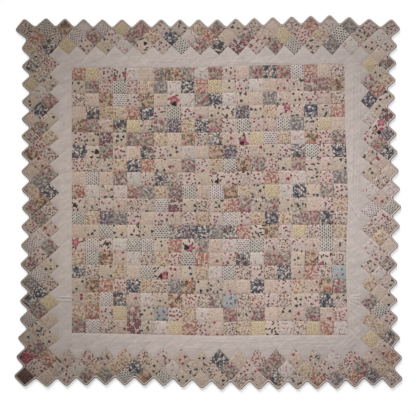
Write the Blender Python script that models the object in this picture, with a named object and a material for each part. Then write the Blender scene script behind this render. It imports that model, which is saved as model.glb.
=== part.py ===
"""Patchwork quilt, laid out flat and face up, with the top of the design towards +Y.

A centre of 20 by 20 square patches lies inside plain cream strips. Round them runs a border of
squares set on point, three deep, whose outermost squares make a toothed edge with a narrow binding.
The layers are quilted together, so every patch stands a little proud of the seams round it.
"""

import random

import bmesh
import bpy
from mathutils import Vector

# Driving dimensions, in metres
PATCH_WIDTH = 0.0769
PATCH_HEIGHT = 0.0750
PATCHES = 20
POINT_ACROSS = 0.05275
POINT_DOWN = 0.05138
FIELD_FROM_MIDDLE = Vector((-0.0038, 0.0095))
BINDING_WIDTH = 0.0095
TIP_ROUNDING = 0.012
NOTCH_ROUNDING = 0.011
GAP = 0.0003

# Heights above the surface that the quilt lies on, in metres
SEAM_HEIGHT = 0.0030
PATCH_PUFF = 0.0019
CREAM_PUFF = 0.0013
PATCH_CROWN = 0.0005
SEAM_SLOPE = 0.0085
TIP_SPREAD = 0.0015
PUFF_SPREAD = 0.25

# The binding's section: its share of the way from the inner to the outer edge, and its height
BINDING_SECTION = (
    (0.00, 0.0000),
    (0.00, 0.0036),
    (0.45, 0.0043),
    (0.92, 0.0032),
    (1.00, 0.0000),
)

# The squares on point are counted in half diagonals, from the middle of the first outer square
LAST = 38
RING_DEPTH = 3
STRIP_START = 3
STRIP_END = LAST - STRIP_START

# How far the sewn lines of the centre wander from straight, in millimetres.
# The station counts patches from the left for the top and bottom, and from the top for the rest.
FIELD_COLUMNS = ("station", "top_out", "right_out", "bottom_out", "rows_up")
FIELD_DRIFT = (
    (0, -6, -12, -9, 0),
    (5, -9, -7, -1, 10),
    (10, -3, 9, 7, 14),
    (15, 8, -5, 4, 12),
    (20, 13, 9, 4, 0),
)

# How far the toothed edge wanders from straight, in millimetres: outwards, and along the side
# (to the right on the top and bottom, down on the left and right).
EDGE_COLUMNS = (
    "station", "top_along", "top_out", "right_along", "right_out",
    "bottom_along", "bottom_out", "left_along", "left_out",
)
EDGE_DRIFT = (
    (0, -38, 6, 9, 15, -33, 11, 16, 38),
    (2, -20, 7, -1, -2, -14, 11, 14, 3),
    (8, -22, 0, -22, -14, -4, 1, 3, 3),
    (14, -9, 1, -23, 1, 4, 7, -16, 7),
    (20, -12, 1, -24, 21, 10, 27, -20, 3),
    (26, -18, 13, -10, -1, 12, 26, -12, 11),
    (32, -15, 25, -20, 2, 25, 23, -12, 15),
    (36, -5, 3, -3, 26, 18, 5, -8, 34),
    (38, 15, 3, 12, 31, 13, 18, -5, 48),
)
CORNER_BLEND = 6

# Finish of each kind of cloth: colour and roughness
PATCHED = ((0.35, 0.27, 0.23, 1.0), 0.90)
CREAM = ((0.47, 0.39, 0.35, 1.0), 0.90)
BEIGE = ((0.33, 0.25, 0.20, 1.0), 0.88)

MERGE = 0.0001
MILLIMETRE = 0.001
random.seed(20)


def clear_scene():
    """Removes whatever the file opened with."""
    for old in list(bpy.data.objects):
        bpy.data.objects.remove(old, do_unlink=True)


def read_drift(table, columns, name, station):
    """Reads one column of a drift table at a station, straight between its rows, in metres."""
    place = columns.index(name)
    station = min(max(station, table[0][0]), table[-1][0])
    for low, high in zip(table, table[1:]):
        if station <= high[0]:
            share = (station - low[0]) / (high[0] - low[0])
            return (low[place] + share * (high[place] - low[place])) * MILLIMETRE


def field_point(column, row):
    """Corner of the centre's patches, counted from its top left."""
    wide = PATCHES * PATCH_WIDTH
    tall = PATCHES * PATCH_HEIGHT
    across = column / PATCHES
    down = row / PATCHES
    right_out = read_drift(FIELD_DRIFT, FIELD_COLUMNS, "right_out", row)
    top_out = read_drift(FIELD_DRIFT, FIELD_COLUMNS, "top_out", column)
    bottom_out = read_drift(FIELD_DRIFT, FIELD_COLUMNS, "bottom_out", column)
    rows_up = read_drift(FIELD_DRIFT, FIELD_COLUMNS, "rows_up", row)
    x = -wide / 2 + across * (wide + right_out)
    y = tall / 2 + top_out - down * (tall + top_out + bottom_out) + rows_up
    return FIELD_FROM_MIDDLE + Vector((x, y))


def near_share(count):
    """1 at the notches of a side and more at its tips, falling to 0 at the border's inner side."""
    return max((RING_DEPTH - count) / RING_DEPTH, 0.0)


def lattice_point(i, j):
    """Corner of the squares on point, i half diagonals across and j down."""
    def drift(name, station):
        return read_drift(EDGE_DRIFT, EDGE_COLUMNS, name, station)

    sides = (
        (near_share(j), Vector((drift("top_along", i), drift("top_out", i)))),
        (near_share(LAST - j), Vector((drift("bottom_along", i), -drift("bottom_out", i)))),
        (near_share(i), Vector((-drift("left_out", j), -drift("left_along", j)))),
        (near_share(LAST - i), Vector((drift("right_out", j), -drift("right_along", j)))),
    )
    point = Vector(((i - LAST / 2) * POINT_ACROSS, (LAST / 2 - j) * POINT_DOWN))
    reach = min(max(share for share, move in sides), 1.0)
    if reach > 0:
        total = sum(share ** CORNER_BLEND for share, move in sides)
        for share, move in sides:
            point += move * (reach * share ** CORNER_BLEND / total)
    return point


def is_tip(node):
    """True for the point of a tooth."""
    return min(node) < 0 or max(node) > LAST


def is_notch(node):
    """True for the inner corner between two teeth."""
    return not is_tip(node) and sum(node) % 2 == 1 and (min(node) == 0 or max(node) == LAST)


def step_towards(start, goal, distance):
    """Vector of a given length from one lattice corner towards another."""
    return (lattice_point(*goal) - lattice_point(*start)).normalized() * distance


def trimmed(cell):
    """A cell's corners in metres, cut back from the toothed edge by the binding's width."""
    corners = []
    for k, here in enumerate(cell):
        before = cell[k - 1]
        after = cell[(k + 1) % len(cell)]
        point = lattice_point(*here)
        back = step_towards(here, before, BINDING_WIDTH)
        on = step_towards(here, after, BINDING_WIDTH)
        if is_tip(here):
            corners.append(point + back + on)
        elif is_notch(here) and is_tip(before):
            corners.append(point + on)
        elif is_notch(here) and is_tip(after):
            corners.append(point + back)
        elif is_notch(here):
            corners += [point + back, point + on]
        else:
            corners.append(point)
    return corners


def on_point_square(i, j):
    """The four lattice corners of a square on point, anticlockwise from above."""
    return [(i - 1, j), (i, j + 1), (i + 1, j), (i, j - 1)]


def material(name, finish):
    """Principled cloth material of one colour."""
    colour, roughness = finish
    made = bpy.data.materials.new(name + "_cloth")
    made.use_nodes = True
    shader = made.node_tree.nodes["Principled BSDF"]
    shader.inputs["Base Color"].default_value = colour
    shader.inputs["Roughness"].default_value = roughness
    shader.inputs["Metallic"].default_value = 0.0
    return made


def add_object(name, bm, finish, collection, parent):
    """Turns a closed bmesh into a named object with its own material."""
    bmesh.ops.recalc_face_normals(bm, faces=bm.faces)
    bmesh.ops.triangulate(bm, faces=bm.faces)
    mesh = bpy.data.meshes.new(name)
    bm.to_mesh(mesh)
    bm.free()
    mesh.materials.append(material(name, finish))
    made = bpy.data.objects.new(name, mesh)
    made.parent = parent
    collection.objects.link(made)
    return made


def draw_in_outline(bm, distance):
    """Moves the outline inwards, square to both of its edges at every corner."""
    moves = []
    for vert in bm.verts:
        inwards = []
        for edge in vert.link_edges:
            if edge.is_boundary:
                along = (edge.verts[1].co - edge.verts[0].co).normalized()
                inward = edge.link_faces[0].calc_center_median() - edge.verts[0].co
                inward -= along * inward.dot(along)
                inwards.append(inward.normalized())
        if len(inwards) == 2:
            first, second = inwards
            moves.append((vert, (first + second) / (1 + first.dot(second))))
    for vert, mitre in moves:
        vert.co += mitre * distance


def quilted_panel(name, cells, finish, collection, parent):
    """Closed panel of cells that stand proud of the seams between them, flat underneath.

    Each cell is a list of corners and its puff. The cells are laid flat at seam height and merged,
    inset and lifted one by one, and the outline is then carried down to the surface and filled.
    """
    bm = bmesh.new()
    puffs = bm.faces.layers.float.new("puff")
    for corners, puff in cells:
        face = bm.faces.new([bm.verts.new((x, y, SEAM_HEIGHT)) for x, y in corners])
        face[puffs] = puff * random.uniform(1 - PUFF_SPREAD, 1 + PUFF_SPREAD)
    bmesh.ops.remove_doubles(bm, verts=bm.verts, dist=MERGE)
    draw_in_outline(bm, GAP / 2)
    bmesh.ops.recalc_face_normals(bm, faces=bm.faces)
    caps = bm.faces[:]
    bmesh.ops.inset_individual(bm, faces=caps, thickness=SEAM_SLOPE, use_even_offset=True)
    for cap in caps:
        for vert in cap.verts:
            vert.co.z = SEAM_HEIGHT + cap[puffs]
    crowned = [cap for cap in caps if cap[puffs] > CREAM_PUFF * (1 + PUFF_SPREAD)]
    crowns = bmesh.ops.poke(bm, faces=crowned)
    for vert in crowns["verts"]:
        vert.co.z += PATCH_CROWN
    rim = [edge for edge in bm.edges if edge.is_boundary]
    wall = bmesh.ops.extrude_edge_only(bm, edges=rim)["geom"]
    for item in wall:
        if isinstance(item, bmesh.types.BMVert):
            item.co.z = 0.0
    foot = [item for item in wall if isinstance(item, bmesh.types.BMEdge) and item.is_boundary]
    bmesh.ops.edgeloop_fill(bm, edges=foot)
    return add_object(name, bm, finish, collection, parent)


def patch_cells():
    """The 400 square patches of the centre."""
    cells = []
    for row in range(PATCHES):
        for column in range(PATCHES):
            corners = [
                field_point(column, row),
                field_point(column, row + 1),
                field_point(column + 1, row + 1),
                field_point(column + 1, row),
            ]
            cells.append((corners, PATCH_PUFF))
    return cells


def zigzag_cells(outer, inner):
    """Cells between two edges of a strip, parted by quilting lines that run from each outer point
    to the inner point nearest the middle of its stretch, and back."""
    cells = []
    last = 0
    for start, end in zip(outer, outer[1:]):
        middle = (start + end) / 2
        apex = min(range(len(inner)), key=lambda k: (inner[k] - middle).length)
        if start is outer[0]:
            apex_points = inner[:apex + 1]
        elif end is outer[-1]:
            apex_points = inner[last:]
        else:
            apex_points = [inner[apex]]
            cells.append([start] + inner[last:apex + 1])
        cells.append([end, start] + apex_points)
        last = apex
    return [(corners, CREAM_PUFF) for corners in cells]


def side_strip_cells(column, line):
    """Cream strip down one side, from one end of the inner lattice line to the other."""
    corner = field_point(column, 0)
    foot = field_point(column, PATCHES)
    top = Vector((corner.x, lattice_point(LAST // 2, STRIP_START).y))
    bottom = Vector((foot.x, lattice_point(LAST // 2, STRIP_END).y))
    inner = [top] + [field_point(column, row) for row in range(PATCHES + 1)] + [bottom]
    stations = [STRIP_START] + list(range(STRIP_START + 1, STRIP_END, 2)) + [STRIP_END]
    outer = [lattice_point(line, j) for j in stations]
    return zigzag_cells(outer, inner)


def level_strip_cells(row, line):
    """Cream strip above or below the centre, between the two side strips."""
    inner = [field_point(column, row) for column in range(PATCHES + 1)]
    level = lattice_point(LAST // 2, line).y
    left = inner[0].x
    right = inner[-1].x
    tips = [lattice_point(i, line) for i in range(STRIP_START + 1, STRIP_END, 2)]
    clear = POINT_ACROSS / 2
    outer = [tip for tip in tips if left + clear < tip.x < right - clear]
    outer = [Vector((left, level))] + outer + [Vector((right, level))]
    return zigzag_cells(outer, inner)


def border_cells(squares, triangles):
    """Squares on point, with the cream setting triangles of their inner side."""
    cells = [(trimmed(on_point_square(i, j)), PATCH_PUFF) for i, j in squares]
    cells += [([lattice_point(*node) for node in triangle], CREAM_PUFF) for triangle in triangles]
    return cells


def level_border(mirrored):
    """The top border's squares and triangles, or the bottom's, with both corners."""
    def flip(i, j):
        return (i, LAST - j) if mirrored else (i, j)

    squares = [flip(i, j) for j in range(RING_DEPTH) for i in range(j, LAST - j + 1, 2)]
    triangles = [
        [flip(2, 3), flip(3, 3), flip(3, 2)],
        [flip(3, 2), flip(3, 3), flip(4, 3)],
        [flip(LAST - 2, 3), flip(LAST - 3, 2), flip(LAST - 3, 3)],
        [flip(LAST - 4, 3), flip(LAST - 3, 3), flip(LAST - 3, 2)],
    ]
    triangles += [[flip(i, 3), flip(i + 2, 3), flip(i + 1, 2)] for i in range(4, LAST - 4, 2)]
    return squares, triangles


def upright_border(mirrored):
    """The left border's squares and triangles, or the right's, between the corners."""
    def flip(i, j):
        return (LAST - i, j) if mirrored else (i, j)

    squares = [flip(i, j) for i in range(RING_DEPTH) for j in range(i + 2, LAST - i - 1, 2)]
    triangles = [
        [flip(2, 3), flip(3, 4), flip(3, 3)],
        [flip(2, LAST - 3), flip(3, LAST - 3), flip(3, LAST - 4)],
    ]
    triangles += [[flip(3, j), flip(2, j + 1), flip(3, j + 2)] for j in range(4, LAST - 4, 2)]
    return squares, triangles


def inner_corner(tip):
    """Lattice corner across the square from the point of its tooth."""
    return tuple(1 if count < 0 else LAST - 1 if count > LAST else count for count in tip)


def end_section(far, near, following, width):
    """Straight end of the binding, half way along a corner square's outer edge."""
    middle = (lattice_point(*far) + lattice_point(*near)) / 2
    outer = middle + step_towards(far, near, GAP / 2)
    return outer + step_towards(near, following, width), outer


def binding_sections(run):
    """Pairs of inner and outer points along a run of tips and notches.

    The run starts and ends with the far tip of a corner square, and the binding starts and ends
    half way to it. Tips and notches are rounded on the outer side.
    """
    width = BINDING_WIDTH - GAP / 2
    bulge = TIP_ROUNDING * (1 - 0.5 ** 0.5)
    sections = [end_section(run[0], run[1], run[2], width)]
    for before, here, after in zip(run, run[1:], run[2:]):
        point = lattice_point(*here)
        if is_tip(here):
            back = step_towards(here, before, 1.0)
            on = step_towards(here, after, 1.0)
            inner = point + (back + on) * width
            sections.append((inner + back * TIP_SPREAD, point + back * TIP_ROUNDING))
            sections.append((inner, point + (back + on) * bulge))
            sections.append((inner + on * TIP_SPREAD, point + on * TIP_ROUNDING))
        else:
            for tip in (before, after):
                inner = point + step_towards(here, inner_corner(tip), width)
                outer = point + step_towards(here, tip, NOTCH_ROUNDING)
                sections.append((inner, outer))
    sections.append(end_section(run[-1], run[-2], run[-3], width))
    return sections


def binding_length(name, run, collection, parent):
    """Binding along one side: its section is lofted through the pairs of points, and closed."""
    bm = bmesh.new()
    rings = []
    for inner, outer in binding_sections(run):
        ring = []
        for share, height in BINDING_SECTION:
            x, y = inner.lerp(outer, share)
            ring.append(bm.verts.new((x, y, height)))
        rings.append(ring)
    for ring, following in zip(rings, rings[1:]):
        for k in range(len(ring)):
            bm.faces.new((ring[k - 1], ring[k], following[k], following[k - 1]))
    bm.faces.new(rings[0])
    bm.faces.new(rings[-1])
    return add_object(name, bm, BEIGE, collection, parent)


def tooth_run(side):
    """Tips and notches along one side, with the neighbouring tip of each corner square."""
    def place(along, depth):
        return {
            "top": (along, depth),
            "bottom": (along, LAST - depth),
            "left": (depth, along),
            "right": (LAST - depth, along),
        }[side]

    teeth = [place(k, -1 if k % 2 == 0 else 0) for k in range(LAST + 1)]
    return [place(-1, 0)] + teeth + [place(LAST + 1, 0)]


def centre_plan(parent, pieces):
    """Puts the middle of the whole quilt over the origin, by moving the empty that holds it."""
    points = [vert.co for piece in pieces for vert in piece.data.vertices]
    xs = [point.x for point in points]
    ys = [point.y for point in points]
    parent.location = (-(min(xs) + max(xs)) / 2, -(min(ys) + max(ys)) / 2, 0.0)


def build():
    clear_scene()
    collection = bpy.data.collections.new("patchwork_quilt")
    bpy.context.scene.collection.children.link(collection)
    plan = bpy.data.objects.new("quilt_plan", None)
    collection.objects.link(plan)

    panels = (
        ("patchwork_centre", patch_cells(), PATCHED),
        ("cream_border_left", side_strip_cells(0, STRIP_START), CREAM),
        ("cream_border_right", side_strip_cells(PATCHES, STRIP_END), CREAM),
        ("cream_border_top", level_strip_cells(0, STRIP_START), CREAM),
        ("cream_border_bottom", level_strip_cells(PATCHES, STRIP_END), CREAM),
        ("pieced_border_top", border_cells(*level_border(False)), PATCHED),
        ("pieced_border_bottom", border_cells(*level_border(True)), PATCHED),
        ("pieced_border_left", border_cells(*upright_border(False)), PATCHED),
        ("pieced_border_right", border_cells(*upright_border(True)), PATCHED),
    )
    pieces = [quilted_panel(name, cells, finish, collection, plan) for name, cells, finish in panels]
    for side in ("top", "bottom", "left", "right"):
        pieces.append(binding_length("binding_" + side, tooth_run(side), collection, plan))
    centre_plan(plan, pieces)


build()
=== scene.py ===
"""Patchwork quilt, laid out flat and face up: its cloth, quilting and binding.

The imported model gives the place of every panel. Each panel is remade here as quilted cloth in
smaller lengths: patches that swell between their seams, cream strips with crosshatched quilting and
creases, and a rounded binding round the toothed edge. Every print is drawn by its material.
"""

import math

import bpy
import numpy as np
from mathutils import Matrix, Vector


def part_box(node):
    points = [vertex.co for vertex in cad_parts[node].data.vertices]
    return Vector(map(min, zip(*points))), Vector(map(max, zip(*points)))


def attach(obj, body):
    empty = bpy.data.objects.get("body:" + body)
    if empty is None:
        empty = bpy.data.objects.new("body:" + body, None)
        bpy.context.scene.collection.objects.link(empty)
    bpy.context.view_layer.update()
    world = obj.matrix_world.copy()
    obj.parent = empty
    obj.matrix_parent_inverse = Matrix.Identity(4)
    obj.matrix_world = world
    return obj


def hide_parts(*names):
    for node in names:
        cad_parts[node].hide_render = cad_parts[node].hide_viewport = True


bl_info = {
    "name": "Patchwork quilt",
    "version": (1, 0, 0),
    "blender": (4, 5, 0),
    "location": "View3D > Sidebar > Quilt",
    "description": "Quilted patches, cream strips, pieced borders and binding of a bed quilt",
    "category": "Add Mesh",
}

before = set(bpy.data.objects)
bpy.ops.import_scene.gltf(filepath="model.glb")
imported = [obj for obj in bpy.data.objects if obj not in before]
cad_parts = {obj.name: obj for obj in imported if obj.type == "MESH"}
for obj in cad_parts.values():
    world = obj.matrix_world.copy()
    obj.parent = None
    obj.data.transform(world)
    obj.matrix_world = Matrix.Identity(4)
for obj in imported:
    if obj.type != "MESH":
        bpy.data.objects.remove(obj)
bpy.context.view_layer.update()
BODY = "root"

# The plan of the quilt, in metres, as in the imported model
PATCH_WIDTH = 0.0769
PATCH_HEIGHT = 0.0750
PATCHES = 20
POINT_ACROSS = 0.05275
POINT_DOWN = 0.05138
FIELD_FROM_MIDDLE = (-0.0038, 0.0095)
BINDING_WIDTH = 0.0095
PANEL_GAP = 0.0003
SEAM_HEIGHT = 0.0030

# Radii, in metres, on which the binding turns the teeth and the notches; the cloth's own are a little
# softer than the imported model's
TIP_ROUNDING = 0.015
NOTCH_ROUNDING = 0.013

# The squares on point are counted in half diagonals, from the middle of the first outer square
LAST = 38
RING_DEPTH = 3
STRIP_START = 3
STRIP_END = LAST - STRIP_START
CORNER_BLEND = 6
MILLIMETRE = 0.001

# How far the sewn lines of the centre wander from straight, in millimetres
FIELD_DRIFT = {
    "station": (0, 5, 10, 15, 20),
    "top_out": (-6, -9, -3, 8, 13),
    "right_out": (-12, -7, 9, -5, 9),
    "bottom_out": (-9, -1, 7, 4, 4),
    "rows_up": (0, 10, 14, 12, 0),
}
# How far the toothed edge wanders: outwards, and along its side (to the right, or down)
EDGE_DRIFT = {
    "station": (0, 2, 8, 14, 20, 26, 32, 36, 38),
    "top_along": (-38, -20, -22, -9, -12, -18, -15, -5, 15),
    "top_out": (6, 7, 0, 1, 1, 13, 25, 3, 3),
    "right_along": (9, -1, -22, -23, -24, -10, -20, -3, 12),
    "right_out": (15, -2, -14, 1, 21, -1, 2, 26, 31),
    "bottom_along": (-33, -14, -4, 4, 10, 12, 25, 18, 13),
    "bottom_out": (11, 11, 1, 7, 27, 26, 23, 5, 18),
    "left_along": (16, 14, 3, -16, -20, -12, -12, -8, -5),
    "left_out": (38, 3, 3, 7, 3, 11, 15, 34, 48),
}

# Creases: where each starts and ends, its half width and its height, in millimetres; then how quickly one
# rises from its ends, and the share of its height that it has there
CREASES = (
    (806, 760, 812, 420, 4.0, 2.0),
    (812, 440, 804, 90, 4.5, 1.8),
    (790, 0, 856, -108, 5.0, 1.6),
    (-884, -529, -762, -533, 3.5, 1.5),
    (-880, -549, -764, -552, 3.5, 1.4),
    (788, -528, 858, -520, 3.0, 1.0),
    (788, -536, 860, -545, 3.0, 1.1),
    (790, -546, 858, -572, 3.5, 1.0),
    (778, -712, 838, -772, 5.0, 0.9),
    (804, -696, 862, -742, 4.5, 0.8),
    (300, -776, 520, -768, 5.0, 0.5),
    (470, -792, 730, -784, 5.0, 0.5),
    (-420, 792, -180, 788, 5.0, 0.4),
    (-815, 300, -806, 60, 5.0, 0.8),
    (742, -830, 880, -690, 5.0, 0.7),
    (716, -826, 822, -726, 5.0, 0.6),
    (796, -812, 868, -748, 5.0, 0.7),
    (772, 900, 846, 800, 4.5, 1.0),
    (780, 200, 846, 128, 4.0, 1.3),
    (786, -560, 850, -598, 3.5, 1.0),
    (790, -600, 846, -640, 4.0, 0.9),
    (-60, -778, 250, -786, 5.0, 0.5),
    (-520, -784, -200, -778, 5.0, 0.4),
    (560, -806, 700, -812, 4.5, 0.5),
    (100, 788, 460, 782, 5.0, 0.5),
)
CREASE_TAPER = 6.0
CREASE_END = 0.15

# How much lighter the stage's light shows a cloth than its own colour
LIGHT_GAIN = 1.13

# Cream cloth: how much deeper its puckers are, and how deep its quilting lines are against a whole seam;
# in metres, the distance over which its ripples start and from one to the next; and in millimetres, their
# height along each strip
CREAM_PUCKERS = 1.4
QUILTING_DEPTH = 0.65
RIPPLE_START = 0.030
RIPPLE_PITCH = 0.015
RIPPLE_HEIGHTS = {"left": 0.24, "right": 1.00, "top": 0.16, "bottom": 0.18}
# Ripples wander by these phases, in radians, whose turns are in radians a metre along and across a strip,
# and they come and go along it by these turns and starts
RIPPLE_WANDER = ((2.5, 9.0, 0.0), (1.5, 23.0, 31.0))
RIPPLE_STRETCHES = ((7.3, 0.8), (3.1, 2.0))

# Soft waves over all the cloth: how many, their shortest and longest in metres, and what divides their sum
WAVES = 14
WAVE_LENGTHS = (0.026, 0.080)
WAVE_DIVISOR = 5

# How quickly an inner corner's move turns with its place, in radians a metre
CORNER_TURNS = ((913.0, 577.0), (421.0, 829.0))

# How far a piece's underside lifts at its seams, and over what distance, in metres
HEM_LIFT = 0.0004
HEM_LIFT_REACH = 0.004

# How far a cell's cloth may lie off in its map, in metres; and the shade of plain cloth and binding
CLOTH_SHIFT = 3.0
MIDDLE_SHADE = 0.5

# Seeds of the random draws
WAVE_SEED = 7
CENTRE_SEED = 20
BORDER_SEED = 38

# The lengths that the panels are cut into: where the blocks of the centre end, in patches; where the
# lengths of a pieced border part, in lattice counts; and the number to a strip and to a side's binding
BLOCK_ENDS = (0, 7, 14, 20)
BLOCK_ROWS = ("top", "middle", "bottom")
BLOCK_COLUMNS = ("left", "centre", "right")
BORDER_CUTS = (9.5, 19.5, 28.5)
STRIP_LENGTHS = 4
BINDING_LENGTHS = 5

# Points of neighbouring cells nearer than this are one, in metres; the places are moved by a little
# first, so that none lies where the rounding turns
WELD = 0.00002
WELD_OFFSET = 0.0000031

# Painted shade, in metres: the place that it spreads from, and the distances between which the cloth is
# painted darker, from that place and again at the hems; and the share of the left hem's that the level hems
# take
PAINTED_SHADE_MIDDLE = (0.05, 0.02, 0.0)
PAINTED_SHADE_REACH = (0.55, 1.55)
HEM_SHADE_REACH = (0.93, 1.06)
LEVEL_HEM_SHARE = 0.5

# Seams: the depth of one between two cream cloths, against a whole one; how near to an axis an edge
# is straight; and, in metres, what is added to a line's and a joint's distance so that they shade less
CREAM_JOINT = 0.30
STRAIGHT_EDGE = 0.3
SEAM_FADE = 0.010
LINE_SHADE = 0.0006
JOINT_SHADE = 0.0010

# Stand-ins: for a sum of shares that may be 0, and for the place of an edge that a cell doesn't have
SMALLEST_SUM = 1e-12
FAR_OUTSIDE = -1e3

# Where a grid over a cell is sampled, from its corner to its middle
CELL_SAMPLES = (0.0, 0.05, 0.12, 0.24, 0.42, 0.68, 1.0)
# A cream strip's grid: about how long its side strips and the others are and its steps along, in metres,
# and how many steps across
SIDE_STRIP_REACH = 1.65
LEVEL_STRIP_REACH = 1.54
STRIP_STEP = 0.0030
STRIP_COLUMNS = 28
# The angle from which two faces meet in a sharp edge, as a cloth's top and its walls do
WALL_ANGLE = math.radians(60)

# Section of the binding: share of the way from its inner to its outer edge, and height in metres
BINDING_SECTION = (
    (0.00, 0.0031),
    (0.05, 0.0037),
    (0.16, 0.0042),
    (0.32, 0.0045),
    (0.50, 0.0045),
    (0.68, 0.0041),
    (0.82, 0.0035),
    (0.92, 0.0027),
    (0.98, 0.0018),
    (1.00, 0.0010),
    (0.98, 0.0003),
    (0.90, 0.0000),
    (0.45, 0.0000),
    (0.00, 0.0000),
)
# How far the binding lies over the cloth and how wide its tape is, in metres; the points on the arc of a
# tip and of a notch; and the steps along the straight between them
BINDING_OVERLAP = 0.0007
TIP_SECTIONS = 9
NOTCH_SECTIONS = 7
EDGE_SECTIONS = 7
# Where the inner edge's corners come along a notch; and the binding's puckers: the share of its height,
# the turns in radians a metre and the start of each wave
NOTCH_KNOTS = (0.0, 0.33, 0.67, 1.0)
BINDING_PUCKERS = ((0.05, 520.0, 0.0), (0.04, 790.0, 1.3))

# Finish of the cloth, in metres: the size of its faded patches, specks, puckers and fibres, how far from a
# seam the puckers reach and the painted shade of the seam's groove goes, and the relief of the fibres
FADED_PATCH = 0.055
SPECK = 0.011
PUCKER = 0.010
FIBRE = 0.0022
PUCKER_REACH = 0.008
SEAM_SHADE_REACH = 0.0014
FIBRE_HEIGHT = 0.00006
# Its tones from one batch to another and from fibre to fibre, how far the tone of the threads and the
# fading swing, and its roughness
BATCH_TONES = (0.95, 1.05)
FIBRE_TONES = (0.93, 1.07)
THREAD_TONE = 0.05
FADE_SWING = 2.6
CLOTH_ROUGHNESS = (0.82, 0.96)
# How strongly the prints, the plain cloths and the binding are speckled; and the parts of the painted shade
# in the seams and of the painted light across the quilt that plain cloth takes
PRINT_SPECKLE = 0.36
PLAIN_SPECKLE = 0.13
BINDING_SPECKLE = 0.10
PLAIN_SEAM_SHADE = 0.6
PLAIN_PAINTED_LIGHT = 0.55
# Where the binding's colour turns to its rim's, which is wear and painted shade, and to its foot's, which is
# painted shade, as shares of its width
RIM_TURN = (0.46, 0.60)
FOOT_TURN = (0.14, 0.06)

# Marks of the prints: where their soft edges start and end, as shares of their own size (squared, for a
# leaf); how evenly they are scattered; the depth of a bloom's petals and the range of its size; how the
# level at which a mottle's noise is cut falls with its cover, and from where; and how far each layer is
# moved across from the one below, in metres, and by how much more down
BLOOM_EDGE = (1.1, 0.85)
HEART_EDGE = (0.5, 0.3)
LEAF_EDGE = (1.3, 0.7)
TICK_END = (1.1, 0.8)
TICK_SIDE = (1.2, 0.7)
BLOOM_EVENNESS = 0.8
LEAF_EVENNESS = 0.9
PETAL_DEPTH = 0.2
BLOOM_SIZES = (0.75, 1.2)
MOTTLE_LEVELS = (-0.4, 0.7)
LAYER_SHIFT = 0.37
SHIFT_SLOPE = 1.7

# The stage, in metres: half the floor's width, its height, the point of the quilt that the camera is over
# and how far it sees, with the width of its film in millimetres and the range of the floor's tones
FLOOR_HALF = 20.0
FLOOR_LEVEL = -0.0005
CAMERA_OVER = (-0.002, -0.032)
FILM_WIDTH = 36.0
FARTHEST_SEEN = 100.0
FLOOR_TONES = (0.995, 1.0)

SIDES = ("top", "bottom", "left", "right")
LEVEL_SIDES = ("top", "bottom")

# Where the strong prints lie in the centre: the columns a to t run from the left, the rows from the top
CENTRE_PLACES = {
    "feature_bloom": "d1 h3 l4 p4 m6 b7 r8 k9 a11 e13 n13 a14 c14 i14 s15 g16 o20",
    "navy_leaf": "i2 k3 f4 r4 j5 a7 t7 e8 q10 o12 j13 p16 e17 n17 s18",
    "grey_rose": "g1 i1 n1 b2 r2 j3 b5 g5 e6 t6 c7 i8 n8 d9 h10 s10 m11 o11 q12 j14 p15 t17 k18 e19"
    " n19 r19 a20",
    "charcoal_leaf": "o1 b4 d5 k6 f7 q7 g9 s12 h13 l13 m15 a16 d18",
    "purple_posy": "m4 h5 l7 c12 i13",
    "rust_tapestry": "h1 t2 c3 f3 a5 i6 r6 k7 m8 l10 o13 c15 r15 b17 i17 s17 h18",
    "mauve_tapestry": "k1 p1 s2 k5 f6 q8 e10 r12 o15 l19",
    "grey_swirl": "g2 o3 q5 t9 f10 d12 k13 h17",
    "yellow_dash": "b1 k2 e5 s5 n6 o10 q13 d19 h20 n20 r20",
    "coral_spray": "a1 r1 j2 e4 t4 f8 o9 a10 l11 m13 h14 j15 r16 c17 b19 i20 s20",
    "maroon_spray": "c6 h11 e20",
    "blue_rose": "t16 l18 g19",
    "tan_posy": "f2 c4 d4 o4 i5 g6 p6 d8 k8 g10 m10 t11 b12 j12 n12 p12 t13 a15 g15 d16 j16 f17 q17"
    " b18 a19 i19 m20",
    "dark_chevron": "d2 h4 m5 p5 r7 l8 i10 a12 c13 g13 s13 e14 n14 s14 b15 i15 f16 l16",
    "red_dot": "c2 e2 s6 a8 o8 s9 h15 d17 i18 n18 t19",
    "lilac_tick": "q1 d3 o6 b9 k10 g11 l12 b14 f14 m14 c18 b20",
}
# The pale prints fill the other places by a seeded draw, in these shares
PALE_SHARES = {
    "peach_check": 20, "rosebud": 22, "maroon_berry": 37, "pink_streak": 17, "navy_sprig": 34,
    "teal_bloom": 21, "green_ditsy": 27,
}
PALE_PRINTS = tuple(PALE_SHARES)

# Short names of the prints for the runs of squares on point
RUN_NAMES = {
    "A": "mauve_tapestry", "C": "coral_spray", "D": "red_dot",
    "F": "feature_bloom", "G": "grey_rose", "H": "charcoal_leaf",
    "J": "brown_mottle", "K": "dark_chevron", "L": "lilac_tick",
    "N": "navy_leaf", "O": "tan_posy", "Q": "grey_swirl",
    "U": "rust_tapestry", "V": "purple_posy", "X": "maroon_spray",
    "Y": "yellow_dash", "E": "green_ditsy", "Z": "magenta_bloom",
}
# Each side's runs of squares, from the outer one inwards; a dot is a pale print
BORDER_RUNS = {
    "top": ("EKU.LYA..OG....C.QDE", "CELA.GON.C.G.YDOK..", "HY...F.KGHX.GK.Q.."),
    "bottom": ("J..GQKUK.....H.CQCVE", "...OON....G.G.O.EGO", "C.D.O....N.DA...D."),
    "left": ("OHY...U.OADLGQHL.Z", "EE.NGD.QUG..LNG.G", "D.A.O.GN..G..Y.."),
    "right": (".GOFXVN..K..G...HC", "..C.FA....O...KO.", "YGN.....L...OGOY"),
}


def display_colour(red, green, blue):
    """Linear colour that shows as these 8-bit display values under the stage's light: the standard
    display curve turned round, over the light's gain."""
    shares = np.array((red, green, blue)) / 255
    linear = np.where(shares <= 0.04045, shares / 12.92, ((shares + 0.055) / 1.055) ** 2.4)
    return tuple(linear / LIGHT_GAIN)


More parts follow.
